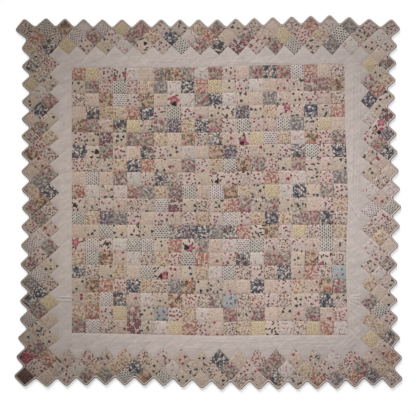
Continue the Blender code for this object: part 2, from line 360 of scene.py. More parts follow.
# The dyes of the prints, as they show under the stage's light
DYES = {
    "milk": (210, 195, 185), "ecru": (200, 185, 170), "shell": (195, 175, 165), "lawn": (195, 185, 175),
    "oat": (190, 170, 150), "peach": (185, 160, 145), "stone": (175, 165, 155), "sand": (170, 150, 135),
    "linen": (155, 140, 125), "straw": (180, 150, 70), "hay": (175, 155, 125), "honey": (170, 140, 105),
    "tan": (160, 135, 105), "duck_egg": (160, 160, 160), "mist": (145, 145, 140), "dove": (145, 135, 130),
    "pewter": (120, 115, 115), "slate": (110, 100, 100), "denim": (95, 105, 105), "charcoal": (85, 80, 80),
    "plum": (85, 75, 95), "ink": (70, 70, 80), "navy": (50, 50, 60), "soot": (50, 45, 40),
    "bottle": (40, 45, 35), "leaf": (65, 75, 45), "teal": (75, 85, 75), "moss": (90, 80, 60),
    "fern": (110, 110, 90), "sage": (125, 120, 95), "olive": (155, 140, 100), "blush": (185, 130, 135),
    "pink": (175, 110, 120), "rose": (155, 85, 95), "coral": (160, 110, 95), "brick": (140, 75, 75),
    "berry": (135, 65, 75), "wine": (105, 55, 60), "mauve": (135, 100, 105), "copper": (150, 105, 75),
    "cocoa": (105, 75, 65), "umber": (80, 50, 50),
}

# What a print gives each kind of layer before its dye, and a bloom's heart has a second dye: lengths in
# millimetres, slants in degrees, petals as a count, and the rest as shares
LAYER_VALUES = {
    "blooms": ("Spacing", "Radius", "Petals", "Share"),
    "leaves": ("Spacing", "Length", "Width", "Share"),
    "ticks": ("Across", "Down", "Length", "Width", "Slant"),
    "mottle": ("Size", "Cover", "Softness"),
    "check": ("Pitch", "Line"),
}
LENGTH_VALUES = ("Spacing", "Radius", "Length", "Width", "Across", "Down", "Size", "Pitch")

# The prints: each one's ground dye, and the layers drawn on it in turn
PRINTS = {
    "peach_check": (
        "ecru", ("check", 10, 0.42, "peach"), ("mottle", 9, 0.35, 0.05, "peach"),
        ("leaves", 34, 7, 4, 0.4, "tan"), ("blooms", 58, 4.4, 4, 0.4, "coral", "brick"),
    ),
    "rosebud": (
        "shell", ("check", 13, 0.3, "peach"), ("mottle", 9, 0.4, 0.04, "sand"),
        ("leaves", 22, 10, 4.6, 0.5, "sage"), ("blooms", 48, 8.4, 3, 0.8, "brick", "wine"),
    ),
    "yellow_dash": ("ecru", ("ticks", 15, 11, 11, 5.6, 40, "straw"), ("mottle", 9, 0.3, 0.05, "hay")),
    "dark_chevron": (
        "lawn", ("ticks", 16.5, 11.6, 12, 5.8, 32, "bottle"), ("mottle", 10, 0.25, 0.05, "stone"),
    ),
    "lilac_tick": ("milk", ("ticks", 15.5, 11, 11.5, 5.6, 32, "plum"), ("mottle", 10, 0.3, 0.05, "stone")),
    "coral_spray": (
        "peach", ("mottle", 22, 0.5, 0.03, "coral"), ("mottle", 13, 0.28, 0.03, "brick"),
        ("leaves", 19, 11, 5, 0.6, "sage"), ("mottle", 11, 0.2, 0.03, "ecru"),
    ),
    "navy_leaf": (
        "pewter", ("mottle", 15, 0.36, 0.03, "ecru"), ("mottle", 20, 0.42, 0.03, "ink"),
        ("leaves", 19, 12, 6, 0.7, "navy"), ("leaves", 24, 11, 6, 0.6, "milk"),
    ),
    "grey_rose": (
        "linen", ("mottle", 13, 0.42, 0.03, "slate"), ("mottle", 17, 0.25, 0.03, "stone"),
        ("leaves", 21, 11, 6, 0.5, "moss"), ("blooms", 46, 8.4, 4, 0.6, "shell", "honey"),
        ("blooms", 32, 8.0, 4, 0.72, "rose", "wine"),
    ),
    "mauve_tapestry": (
        "sand", ("mottle", 16, 0.42, 0.03, "mauve"), ("mottle", 20, 0.26, 0.03, "fern"),
        ("blooms", 27, 7, 4, 0.7, "rose", "berry"), ("leaves", 20, 9, 5, 0.5, "oat"),
    ),
    "maroon_berry": (
        "shell", ("mottle", 7, 0.35, 0.04, "stone"), ("leaves", 24, 8, 3.4, 0.6, "sage"),
        ("blooms", 32, 5.2, 3, 0.6, "ink", "navy"), ("blooms", 24, 5.8, 4, 0.8, "brick", "wine"),
    ),
    "red_dot": (
        "shell", ("mottle", 9, 0.38, 0.04, "sand"), ("blooms", 16.5, 4.8, 3, 0.92, "berry", "wine"),
    ),
    "pink_streak": ("lawn", ("mottle", 7, 0.35, 0.05, "stone"), ("leaves", 29, 20, 6.5, 0.8, "pink")),
    "feature_bloom": (
        "shell", ("leaves", 17, 8, 4.4, 0.5, "tan"), ("leaves", 30, 22, 9, 0.85, "leaf"),
        ("leaves", 36, 19, 8, 0.5, "bottle"), ("blooms", 86, 26, 5, 0.5, "rose", "blush"),
        ("blooms", 60, 13, 3, 0.55, "soot", "bottle"),
    ),
    "grey_swirl": (
        "dove", ("mottle", 12, 0.58, 0.03, "slate"), ("mottle", 16, 0.3, 0.03, "stone"),
        ("mottle", 20, 0.2, 0.03, "linen"),
    ),
    "tan_posy": (
        "oat", ("mottle", 24, 0.4, 0.05, "shell"), ("mottle", 12, 0.3, 0.03, "olive"),
        ("leaves", 17, 9, 4.6, 0.6, "sage"), ("blooms", 22, 5.6, 4, 0.65, "coral", "brick"),
    ),
    "rust_tapestry": (
        "peach", ("mottle", 30, 0.34, 0.03, "coral"), ("mottle", 32, 0.32, 0.03, "cocoa"),
        ("mottle", 24, 0.24, 0.03, "fern"), ("mottle", 11, 0.3, 0.03, "tan"),
        ("leaves", 23, 12, 5, 0.5, "soot"),
    ),
    "navy_sprig": (
        "oat", ("mottle", 7, 0.32, 0.04, "stone"), ("leaves", 30, 9, 4.5, 0.6, "charcoal"),
        ("blooms", 36, 7.6, 3, 0.8, "ink", "navy"),
    ),
    "teal_bloom": (
        "shell", ("mottle", 9, 0.42, 0.04, "linen"), ("leaves", 17, 8, 4, 0.6, "tan"),
        ("leaves", 42, 20, 11, 0.85, "teal"), ("blooms", 40, 6, 4, 0.6, "leaf", "bottle"),
    ),
    "green_ditsy": (
        "shell", ("mottle", 10, 0.36, 0.03, "linen"), ("leaves", 14, 8, 5, 0.7, "moss"),
        ("leaves", 22, 10, 6.5, 0.7, "bottle"), ("blooms", 28, 5, 4, 0.6, "copper", "cocoa"),
    ),
    "charcoal_leaf": (
        "pewter", ("mottle", 14, 0.42, 0.03, "ecru"), ("blooms", 40, 14, 5, 0.7, "charcoal", "ink"),
        ("leaves", 18, 12, 6, 0.6, "soot"), ("leaves", 46, 24, 10, 0.65, "copper"),
    ),
    "purple_posy": (
        "dove", ("mottle", 9, 0.3, 0.03, "lawn"), ("mottle", 12, 0.48, 0.03, "plum"),
        ("mottle", 15, 0.24, 0.03, "cocoa"),
    ),
    "blue_rose": (
        "duck_egg", ("mottle", 8, 0.3, 0.05, "mist"), ("blooms", 30, 6.4, 4, 0.8, "denim", "teal"),
        ("blooms", 33, 6.2, 4, 0.85, "mauve", "berry"),
    ),
    "maroon_spray": (
        "stone", ("leaves", 15, 11, 6, 0.7, "charcoal"), ("blooms", 22, 11, 5, 0.95, "wine", "mauve"),
        ("leaves", 30, 8, 5, 0.5, "shell"),
    ),
    "brown_mottle": (
        "cocoa", ("mottle", 14, 0.5, 0.04, "umber"), ("leaves", 17, 11, 3.4, 0.6, "slate"),
        ("leaves", 20, 9, 3.4, 0.6, "copper"),
    ),
    "magenta_bloom": (
        "berry", ("mottle", 16, 0.4, 0.03, "pink"), ("leaves", 30, 20, 9, 0.5, "bottle"),
        ("leaves", 26, 8, 5, 0.5, "shell"),
    ),
}


def length_property(name, description, default):
    """A length that a user may change, in metres."""
    return bpy.props.FloatProperty(
        name=name, description=description, default=default, min=0.0, unit="LENGTH", precision=5
    )


def share_property(name, description, default):
    """A share from 0 to 1 that a user may change."""
    return bpy.props.FloatProperty(
        name=name, description=description, default=default, min=0.0, max=1.0, subtype="FACTOR"
    )


def colour_property(name, description, shown):
    """A colour that a user may change, given as its display values."""
    return bpy.props.FloatVectorProperty(
        name=name,
        description=description,
        default=display_colour(*shown),
        min=0.0,
        max=1.0,
        subtype="COLOR",
    )


def tone_property(name, description, tone):
    """A tone that multiplies colours, which a user may change."""
    return bpy.props.FloatVectorProperty(
        name=name, description=description, default=tone, min=0.0, max=2.0, subtype="COLOR"
    )


def strength_property(name, description, default):
    """A light's strength that a user may change."""
    return bpy.props.FloatProperty(name=name, description=description, default=default, min=0.0)


def angle_property(name, description, degrees):
    """An angle that a user may change, given in degrees."""
    return bpy.props.FloatProperty(
        name=name, description=description, default=math.radians(degrees), subtype="ANGLE"
    )


class QuiltShape(bpy.types.PropertyGroup):
    """Sizes of the quilting"""

    patch_puff: length_property("Patch puff", "Swell of a patch above its seams", 0.0021)
    cream_puff: length_property("Cream puff", "Swell of the cream strips above their stitching", 0.0014)
    swell_width: length_property("Swell width", "Distance over which a patch rises from its seam", 0.0075)
    strip_swell: length_property("Strip swell", "Distance over which a strip rises from its lines", 0.0042)
    pucker_depth: length_property("Pucker depth", "Depth of the soft puckers over the cloth", 0.0003)
    patch_unevenness: length_property("Patch unevenness", "How far inner patch corners sit off", 0.0013)
    puff_spread: share_property("Puff spread", "How much the swell differs from patch to patch", 0.25)


class QuiltCloth(bpy.types.PropertyGroup):
    """Finish of the cloth, with its painted light and shade"""

    cream: colour_property("Cream", "Cream cotton of the strips and triangles", (196, 183, 176))
    backing: colour_property("Backing", "Cotton on the underside", (196, 184, 172))
    # The ridge is the binding's own colour; its rim is painted darker with wear and painted shade, and its
    # foot with painted shade
    binding_ridge: colour_property("Binding ridge", "Worn top of the binding", (214, 202, 190))
    binding_rim_wear_and_shade: colour_property("Binding rim", "Outer edge of the binding", (145, 128, 115))
    binding_foot_shade: colour_property("Binding foot", "Inner edge of the binding", (122, 109, 101))
    # Painted light: the cloth is painted darker towards the left side and lighter towards the right, as the
    # light falls across the quilt
    left_tone: tone_property("Left tone", "Tone that the left side has taken with age", (0.86, 0.84, 0.81))
    right_tone: tone_property("Right tone", "Tone that the right side has kept", (1.16, 1.15, 1.19))
    fade: share_property("Fade", "Unevenness of the washed colours", 0.10)
    # Painted shade in the grooves of the seams and quilting lines
    seam_shade: share_property("Seam shade", "Darkening in the seams", 0.10)
    # Painted shade: the cloth is painted darker towards the corners and along the left, top and bottom hems,
    # where the light falls off
    edge_shade: share_property("Edge shade", "Darkening of the cloth towards the corners", 0.42)
    hem_shade: share_property("Hem shade", "Darkening along the left, top and bottom hems", 0.11)
    weave_pitch: length_property("Weave pitch", "Distance between threads", 0.0009)
    weave_height: length_property("Weave height", "Relief of the threads", 0.00005)
    pucker_height: length_property("Pucker height", "Relief of the fine puckers along the seams", 0.0006)


class QuiltStage(bpy.types.PropertyGroup):
    """Floor, light and camera"""

    floor: tone_property("Floor", "Pale floor under the quilt", (0.98, 0.98, 0.98))
    sky_strength: strength_property("Sky strength", "Light from all round", 0.70)
    lamp_strength: strength_property("Lamp strength", "Light of the soft lamp beyond the top edge", 4.8)
    lamp_elevation: angle_property("Lamp elevation", "Height of the lamp above the horizon", 12.5)
    lamp_turn: angle_property("Lamp turn", "How far the lamp stands to the left of the quilt's top edge", 14)
    lamp_spread: angle_property("Lamp spread", "Width of the lamp as seen from the quilt", 12)
    camera_height: length_property("Camera height", "Distance of the camera above the quilt", 14.0)
    view_width: length_property("View width", "Width that the camera sees at the quilt", 2.33)


def drift(table, name, station):
    """How far a sewn line wanders at a station, straight between the table's columns, in metres."""
    return np.interp(station, table["station"], table[name]) * MILLIMETRE


def field_points(column, row):
    """Corners of the centre's patches: even steps across and down a rectangle whose sides wander.

    x grows with the column's share of the width plus the right side's drift at that row, and y falls
    with the row's share of the height plus the drifts of the top and bottom at that column.
    """
    column, row = np.broadcast_arrays(np.asarray(column, float), np.asarray(row, float))
    wide = PATCHES * PATCH_WIDTH
    tall = PATCHES * PATCH_HEIGHT
    top_out = drift(FIELD_DRIFT, "top_out", column)
    bottom_out = drift(FIELD_DRIFT, "bottom_out", column)
    x = -wide / 2 + column / PATCHES * (wide + drift(FIELD_DRIFT, "right_out", row))
    y = tall / 2 + top_out - row / PATCHES * (tall + top_out + bottom_out)
    y = y + drift(FIELD_DRIFT, "rows_up", row)
    return np.stack([x, y], -1) + FIELD_FROM_MIDDLE + PLAN_SHIFT


def lattice_points(i, j):
    """Corners of the squares on point, i half diagonals across and j down.

    Each point of the even lattice moves by the drifts of the four sides, each weighted by a power of
    its nearness, and by less the further the point lies from the toothed edge.
    """
    i, j = np.broadcast_arrays(np.asarray(i, float), np.asarray(j, float))
    near = np.stack([j, LAST - j, i, LAST - i])
    shares = np.maximum((RING_DEPTH - near) / RING_DEPTH, 0.0)
    moves = np.stack([
        np.stack([drift(EDGE_DRIFT, "top_along", i), drift(EDGE_DRIFT, "top_out", i)], -1),
        np.stack([drift(EDGE_DRIFT, "bottom_along", i), -drift(EDGE_DRIFT, "bottom_out", i)], -1),
        np.stack([-drift(EDGE_DRIFT, "left_out", j), -drift(EDGE_DRIFT, "left_along", j)], -1),
        np.stack([drift(EDGE_DRIFT, "right_out", j), -drift(EDGE_DRIFT, "right_along", j)], -1),
    ])
    powers = shares**CORNER_BLEND
    reach = np.minimum(shares.max(0), 1.0)
    weights = powers * reach / np.maximum(powers.sum(0), SMALLEST_SUM)
    even = np.stack([(i - LAST / 2) * POINT_ACROSS, (LAST / 2 - j) * POINT_DOWN], -1)
    return even + (moves * weights[..., None]).sum(0) + PLAN_SHIFT


def find_plan_shift():
    """Distance from the plan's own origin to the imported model's, read from the centre's box."""
    lowest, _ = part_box("patchwork_centre")
    left = field_points(0, 0)[0]
    bottom = field_points(np.arange(PATCHES + 1), PATCHES)[:, 1].min()
    return np.array([lowest[0] - PANEL_GAP / 2 - left, lowest[1] - PANEL_GAP / 2 - bottom])


PLAN_SHIFT = np.zeros(2)
PLAN_SHIFT = find_plan_shift()


class Nodes:
    """Short calls that add nodes to one tree; a value is a number, a tuple or another node's socket."""

    def __init__(self, tree):
        self.tree = tree

    def add(self, kind, values=None, **settings):
        """Adds a node, with its settings, and sets or links its inputs."""
        node = self.tree.nodes.new(kind)
        for name, setting in settings.items():
            setattr(node, name, setting)
        for key, value in (values or {}).items():
            if isinstance(value, bpy.types.NodeSocket):
                self.tree.links.new(value, node.inputs[key])
            else:
                node.inputs[key].default_value = value
        return node

    def math(self, operation, *values):
        """One step of arithmetic."""
        return self.add("ShaderNodeMath", dict(enumerate(values)), operation=operation).outputs[0]

    def vector(self, operation, *values, output=0):
        """One step of arithmetic with vectors."""
        node = self.add("ShaderNodeVectorMath", dict(enumerate(values)), operation=operation)
        return node.outputs[output]

    def product(self, *values):
        """All the values multiplied together."""
        result = values[0]
        for value in values[1:]:
            result = self.math("MULTIPLY", result, value)
        return result

    def less(self, *values):
        """One minus the product of the values."""
        return self.math("MULTIPLY_ADD", self.product(*values), -1.0, 1.0)

    def ramp(self, value, low, high):
        """0 up to low, 1 from high, and smooth between; low may be the greater of the two."""
        values = {"Value": value, "From Min": low, "From Max": high}
        node = self.add("ShaderNodeMapRange", values, interpolation_type="SMOOTHSTEP")
        return node.outputs["Result"]

    def span(self, value, low, high):
        """Carries 0 to 1 over to low to high."""
        return self.add("ShaderNodeMapRange", {"Value": value, "To Min": low, "To Max": high}).outputs[0]

    def mix(self, share, under, over, blend="MIX"):
        """Lays one colour over another."""
        values = {0: share, 6: under, 7: over}
        return self.add("ShaderNodeMix", values, data_type="RGBA", blend_type=blend).outputs[2]

    def tint(self, colour, amount):
        """A colour made darker or lighter by an amount."""
        grey = self.add("ShaderNodeCombineXYZ", {0: amount, 1: amount, 2: amount}).outputs[0]
        return self.mix(1.0, colour, grey, "MULTIPLY")

    def apart(self, vector):
        """The three parts of a vector."""
        return self.add("ShaderNodeSeparateXYZ", {0: vector}).outputs

    def turned(self, vector, angle):
        """The two parts in the plan of a vector turned by an angle."""
        values = {"Vector": vector, "Angle": angle}
        return self.apart(self.add("ShaderNodeVectorRotate", values, rotation_type="Z_AXIS").outputs[0])

    def noise(self, vector, scale, detail, dimensions="3D"):
        """Smooth noise from 0 to 1."""
        values = {"Vector": vector, "Scale": scale, "Detail": detail}
        return self.add("ShaderNodeTexNoise", values, noise_dimensions=dimensions).outputs[0]

    def moved(self, given):
        """The group's vector moved along by its shift, so that like patterns don't fall in step."""
        shift = given["Shift"]
        step = self.add("ShaderNodeCombineXYZ", {0: shift, 1: self.math("MULTIPLY", shift, SHIFT_SLOPE)})
        return self.vector("ADD", given["Vector"], step.outputs[0])

    def scattered(self, given, evenness):
        """Places scattered one to a cell of the group's spacing: where a point lies from its place, two
        random shares, and 1 where a third is below the group's share."""
        moved = self.moved(given)
        scale = self.math("DIVIDE", 1.0, given["Spacing"])
        values = {"Vector": moved, "Scale": scale, "Randomness": evenness}
        cells = self.add("ShaderNodeTexVoronoi", values, voronoi_dimensions="2D").outputs
        local = self.vector("SUBTRACT", moved, cells["Position"])
        random = self.add("ShaderNodeSeparateColor", {0: cells["Color"]}).outputs
        return local, random[0], random[1], self.math("LESS_THAN", random[2], given["Share"])


# Kinds of the groups' sockets that hold more than one number
SOCKET_KINDS = {
    "Vector": "Vector",
    "Place": "Vector",
    "Colour": "Color",
    "Left Tone": "Color",
    "Right Tone": "Color",
}


def new_group(name, inputs, outputs):
    """Empty node group with sockets of these names: its Nodes, and its inputs by name."""
    tree = bpy.data.node_groups.new(name, "ShaderNodeTree")
    for way, labels in (("INPUT", inputs), ("OUTPUT", outputs)):
        for label in labels:
            kind = "NodeSocket" + SOCKET_KINDS.get(label, "Float")
            tree.interface.new_socket(label, in_out=way, socket_type=kind)
    nodes = Nodes(tree)
    return nodes, nodes.add("NodeGroupInput").outputs


def blooms_group(nodes, given):
    """Round flowers scattered one to a cell. A flower's rim lies at its radius times one plus a fifth
    of the cosine of petals times the angle, and its heart is the inner two fifths."""
    local, turn, size, chosen = nodes.scattered(given, BLOOM_EVENNESS)
    apart = nodes.apart(local)
    angle = nodes.math("ARCTAN2", apart[1], apart[0])
    turned = nodes.math("MULTIPLY_ADD", angle, given["Petals"], nodes.product(turn, math.tau))
    petals = nodes.math("MULTIPLY_ADD", nodes.math("COSINE", turned), PETAL_DEPTH, 1.0)
    rim = nodes.product(given["Radius"], nodes.span(size, *BLOOM_SIZES), petals)
    share = nodes.math("DIVIDE", nodes.vector("LENGTH", local, output="Value"), rim)
    return {
        "Mask": nodes.product(nodes.ramp(share, *BLOOM_EDGE), chosen),
        "Heart": nodes.product(nodes.ramp(share, *HEART_EDGE), chosen),
    }


def leaves_group(nodes, given):
    """Small leaves scattered one to a cell, each an ellipse turned by a random angle: a point is inside
    where the squares of its shares of half the length and half the width add up to less than one."""
    local, turn, size, chosen = nodes.scattered(given, LEAF_EVENNESS)
    sides = nodes.turned(local, nodes.product(turn, math.tau))
    along = nodes.math("DIVIDE", sides[0], nodes.product(given["Length"], 0.5))
    across = nodes.math("DIVIDE", sides[1], nodes.product(given["Width"], 0.5))
    squares = nodes.math("ADD", nodes.product(along, along), nodes.product(across, across))
    return {"Mask": nodes.product(nodes.ramp(squares, *LEAF_EDGE), chosen)}


def ticks_group(nodes, given):
    """Dashes in rows. Every other row is moved by half a pitch and slants the other way, and a dash
    shows where a point is nearer its middle than half its length and half its width."""
    apart = nodes.apart(nodes.moved(given))
    rows = nodes.math("DIVIDE", apart[1], given["Down"])
    odd = nodes.math("FLOORED_MODULO", nodes.math("FLOOR", rows), 2.0)
    places = nodes.math("MULTIPLY_ADD", odd, 0.5, nodes.math("DIVIDE", apart[0], given["Across"]))
    across = nodes.product(nodes.math("SUBTRACT", nodes.math("FRACT", places), 0.5), given["Across"])
    down = nodes.product(nodes.math("SUBTRACT", nodes.math("FRACT", rows), 0.5), given["Down"])
    local = nodes.add("ShaderNodeCombineXYZ", {0: across, 1: down}).outputs[0]
    angle = nodes.product(given["Slant"], nodes.math("MULTIPLY_ADD", odd, 2.0, -1.0))
    sides = nodes.turned(local, angle)
    along = nodes.math("DIVIDE", nodes.math("ABSOLUTE", sides[0]), nodes.product(given["Length"], 0.5))
    off = nodes.math("DIVIDE", nodes.math("ABSOLUTE", sides[1]), nodes.product(given["Width"], 0.5))
    return {"Mask": nodes.product(nodes.ramp(along, *TICK_END), nodes.ramp(off, *TICK_SIDE))}


def mottle_group(nodes, given):
    """Uneven blotches: noise of the given size, cut at the level that leaves the given cover."""
    scale = nodes.math("DIVIDE", 1.0, given["Size"])
    noise = nodes.noise(nodes.moved(given), scale, 2.0, "2D")
    level = nodes.math("MULTIPLY_ADD", given["Cover"], *MOTTLE_LEVELS)
    low = nodes.math("SUBTRACT", level, given["Softness"])
    high = nodes.math("ADD", level, given["Softness"])
    return {"Mask": nodes.ramp(noise, low, high)}


def check_group(nodes, given):
    """Fine lines both ways, each taking the given share of the pitch; they add where they cross."""
    apart = nodes.apart(nodes.moved(given))
    edge = nodes.product(given["Line"], 0.5)
    lines = []
    for place in (apart[0], apart[1]):
        share = nodes.math("FRACT", nodes.math("DIVIDE", place, given["Pitch"]))
        middle = nodes.math("ABSOLUTE", nodes.math("SUBTRACT", share, 0.5))
        lines.append(nodes.ramp(middle, *(nodes.product(edge, side) for side in TICK_SIDE)))
    return {"Mask": nodes.product(nodes.math("ADD", *lines), 0.5)}


def washed_cloth_group(nodes, given):
    """Finish of every cloth: its colour fades in soft patches and is painted with shade in the grooves of the
    seams, towards the corners and along the left, top and bottom hems, and painted darker towards the left
    side and lighter towards the right, as the light falls; its relief is threads, puckers along the seams and
    fine unevenness."""
    apart = nodes.apart(given["Vector"])
    turns = nodes.math("DIVIDE", math.tau, given["Weave Pitch"])
    threads = nodes.product(*(nodes.math("SINE", nodes.product(apart[axis], turns)) for axis in (0, 1)))
    # groove_shade is the painted shade in the grooves of the seams; near is where the puckers reach
    near, groove_shade = (
        nodes.math("EXPONENT", nodes.math("DIVIDE", given["From Seam"], -reach))
        for reach in (PUCKER_REACH, SEAM_SHADE_REACH)
    )
    washed = nodes.noise(given["Place"], 1 / FADED_PATCH, 3.0)
    wool = nodes.noise(given["Vector"], 1 / FIBRE, 2.0)
    specks = nodes.noise(given["Vector"], 1 / SPECK, 1.0)
    puckers = nodes.noise(given["Vector"], 1 / PUCKER, 2.0)

    place = nodes.apart(given["Place"])
    # Painted shade, darker away from the middle and again towards the left, top and bottom hems
    outward = nodes.ramp(nodes.vector("DISTANCE", given["Place"], PAINTED_SHADE_MIDDLE, output="Value"), *PAINTED_SHADE_REACH)
    left_hem = nodes.ramp(nodes.product(place[0], -1.0), *HEM_SHADE_REACH)
    level_hems = nodes.ramp(nodes.math("ABSOLUTE", place[1]), *HEM_SHADE_REACH)
    hems = nodes.math("MAXIMUM", left_hem, nodes.product(level_hems, LEVEL_HEM_SHARE))
    swing = nodes.product(nodes.math("SUBTRACT", washed, 0.5), FADE_SWING)
    around = nodes.math("MULTIPLY_ADD", specks, 2.0, -1.0)
    amount = nodes.product(
        nodes.math("MULTIPLY_ADD", swing, given["Fade"], 1.0),
        nodes.span(given["Shade"], *BATCH_TONES),
        nodes.math("MULTIPLY_ADD", threads, THREAD_TONE, 1.0),
        nodes.span(wool, *FIBRE_TONES),
        nodes.math("MULTIPLY_ADD", around, given["Speckle"], 1.0),
        nodes.less(groove_shade, given["Seam Shade"]),
        nodes.less(outward, given["Edge Soil"]),
        nodes.less(hems, given["Hem Soil"]),
    )
    # Painted light: darker towards the left side, lighter towards the right
    rightward = nodes.math("MULTIPLY_ADD", place[0], 0.5, 0.5)
    tone = nodes.mix(rightward, given["Left Tone"], given["Right Tone"])
    side_lit = nodes.mix(1.0, given["Colour"], tone, "MULTIPLY")

    weave = nodes.product(threads, given["Weave Height"])
    relief = nodes.math("ADD", weave, nodes.product(puckers, near, given["Pucker Height"]))
    return {
        "Colour": nodes.tint(side_lit, amount),
        "Roughness": nodes.span(wool, *CLOTH_ROUGHNESS),
        "Height": nodes.math("ADD", relief, nodes.product(wool, FIBRE_HEIGHT)),
    }


GROUP_MAKERS = {
    "blooms": blooms_group,
    "leaves": leaves_group,
    "ticks": ticks_group,
    "mottle": mottle_group,
    "check": check_group,
    "washed_cloth": washed_cloth_group,
}


def group_node(nodes, kind, values, outputs):
    """Places the named group with its values, and makes it the first time, with an input for each."""
    tree = bpy.data.node_groups.get(kind)
    if not tree:
        inside, given = new_group(kind, values, outputs)
        inside.add("NodeGroupOutput", GROUP_MAKERS[kind](inside, given))
        tree = inside.tree
    return nodes.add("ShaderNodeGroup", values, node_tree=tree).outputs


def socket_value(name, value):
    """A layer's value as its socket takes it: lengths from millimetres, slants from degrees."""
    if name == "Slant":
        return math.radians(value)
    return value * MILLIMETRE if name in LENGTH_VALUES else value


def dyed(name):
    """A dye's colour as a socket takes it."""
    return (*display_colour(*DYES[name]), 1.0)


def add_layer(nodes, under, layer, vector, number):
    """Draws one layer of a print over the colour under it."""
    kind, *given = layer
    names = LAYER_VALUES[kind]
    values = {name: socket_value(name, value) for name, value in zip(names, given)}
    values.update({"Vector": vector, "Shift": LAYER_SHIFT * number})
    masks = ("Mask", "Heart") if kind == "blooms" else ("Mask",)
    drawn = group_node(nodes, kind, values, masks)
    for mask, dye in zip(masks, given[len(names):]):
        under = nodes.mix(drawn[mask], under, dyed(dye))
    return under


def cloth_material(name, colour_of, speckle, seam_shade=1.0, painted_light=1.0):
    """Cotton material: colour_of draws its colour, and the washed cloth group finishes it. The painted shade
    in the seams and the painted light across the quilt may be given in part."""
    if name in bpy.data.materials:
        return bpy.data.materials[name]
    cloth = bpy.context.scene.quilt_cloth
    made = bpy.data.materials.new(name)
    made.use_nodes = True
    made.node_tree.nodes.clear()
    nodes = Nodes(made.node_tree)

    # The share of the painted light across the quilt that this cloth takes
    def side_lit(tone):
        return (*(1 + painted_light * (channel - 1) for channel in tone), 1.0)

    def attribute(label):
        return nodes.add("ShaderNodeAttribute", attribute_name=label).outputs["Fac"]

    vector = nodes.add("ShaderNodeUVMap", uv_map="cloth").outputs[0]
    values = {
        "Colour": colour_of(nodes, vector),
        "Vector": vector,
        "Place": nodes.add("ShaderNodeTexCoord").outputs["Object"],
        "From Seam": attribute("from_seam"),
        "Shade": attribute("shade"),
        "Fade": cloth.fade,
        "Seam Shade": cloth.seam_shade * seam_shade,
        "Edge Soil": cloth.edge_shade,
        "Hem Soil": cloth.hem_shade,
        "Speckle": speckle,
        "Left Tone": side_lit(cloth.left_tone),
        "Right Tone": side_lit(cloth.right_tone),
        "Weave Pitch": cloth.weave_pitch,
        "Weave Height": cloth.weave_height,
        "Pucker Height": cloth.pucker_height,
    }
    finish = group_node(nodes, "washed_cloth", values, ("Colour", "Roughness", "Height"))
    values = {
        "Base Color": finish["Colour"],
        "Roughness": finish["Roughness"],
        "Normal": nodes.add("ShaderNodeBump", {"Height": finish["Height"], "Distance": 1.0}).outputs[0],
        "Specular IOR Level": 0.25,
        "Sheen Weight": 0.10,
        "Sheen Roughness": 0.5,
    }
    shader = nodes.add("ShaderNodeBsdfPrincipled", values)
    nodes.add("ShaderNodeOutputMaterial", {"Surface": shader.outputs[0]})
    return made


def print_material(name):
    """Material of one print, from the table of prints."""
    ground, *layers = PRINTS[name]

    def colour_of(nodes, vector):
        colour = dyed(ground)
        for number, layer in enumerate(layers, 1):
            colour = add_layer(nodes, colour, layer, vector, number)
        return colour

    return cloth_material(name, colour_of, PRINT_SPECKLE)


def plain_material(name):
    """Plain cotton of the cream strips and triangles, or of the backing."""
    shown = (*getattr(bpy.context.scene.quilt_cloth, name), 1.0)
    return cloth_material(name, lambda nodes, vector: shown, PLAIN_SPECKLE, PLAIN_SEAM_SHADE, PLAIN_PAINTED_LIGHT)


def cotton(name):
    """Material of a plain cloth or a print."""
    return plain_material(name) if name in ("cream", "backing") else print_material(name)


def binding_material():
    """Binding cotton: its own colour on the ridge, darker on the rim with wear and painted shade where it
    turns down, and painted shade at the foot where it meets the cloth.
    """
    cloth = bpy.context.scene.quilt_cloth

    def colour_of(nodes, vector):
        across = nodes.apart(vector)[1]
        colour = (*cloth.binding_ridge, 1.0)
        # Wear and painted shade on the rim, painted shade at the foot
        for turn, shown in ((RIM_TURN, cloth.binding_rim_wear_and_shade), (FOOT_TURN, cloth.binding_foot_shade)):
            mask = nodes.ramp(across, *(share * BINDING_WIDTH for share in turn))
            colour = nodes.mix(mask, colour, (*shown, 1.0))
        return colour

    return cloth_material("worn_binding", colour_of, BINDING_SPECKLE)


def crease_heights(points):
    """Height of the creases at plan points: each is a ridge whose height falls off as the exponential
    of minus the squared share of its distance to its half width."""
    heights = np.zeros(points.shape[:-1])
    for x_start, y_start, x_end, y_end, half_width, height in CREASES:
        start = np.array((x_start, y_start)) * MILLIMETRE
        along = np.array((x_end, y_end)) * MILLIMETRE - start
        offset = points - start
        share = np.clip((offset @ along) / (along @ along), 0.0, 1.0)
        away = np.linalg.norm(offset - share[..., None] * along, axis=-1)
        taper = np.clip(CREASE_TAPER * np.minimum(share, 1 - share) + CREASE_END, 0.0, 1.0)
        heights += height * MILLIMETRE * taper * np.exp(-((away / (half_width * MILLIMETRE)) ** 2))
    return heights


def soft_waves(points):
    """Sum of sine waves of the plan, in all directions and of many lengths, from about -1 to 1."""
    random = np.random.default_rng(WAVE_SEED)
    angles = random.uniform(0, math.tau, WAVES)
    lengths = random.uniform(*WAVE_LENGTHS, WAVES)
    phases = random.uniform(0, math.tau, WAVES)
    waves = np.stack([np.cos(angles), np.sin(angles)]) * (math.tau / lengths)
    return np.sin(points @ waves + phases).sum(-1) / WAVE_DIVISOR


def uneven_corners(points, inner, unevenness):
    """Moves the inner corners by up to the unevenness, in a direction that depends on where they lie."""
    moves = np.sin(points @ np.array(CORNER_TURNS)) * unevenness
    return points + np.where(inner[..., None], moves, 0.0)


def linked_object(name, data):
    """New object of a mesh, a lamp or a camera, in the scene."""
    made = bpy.data.objects.new(name, data)
    bpy.context.scene.collection.objects.link(made)
    return made


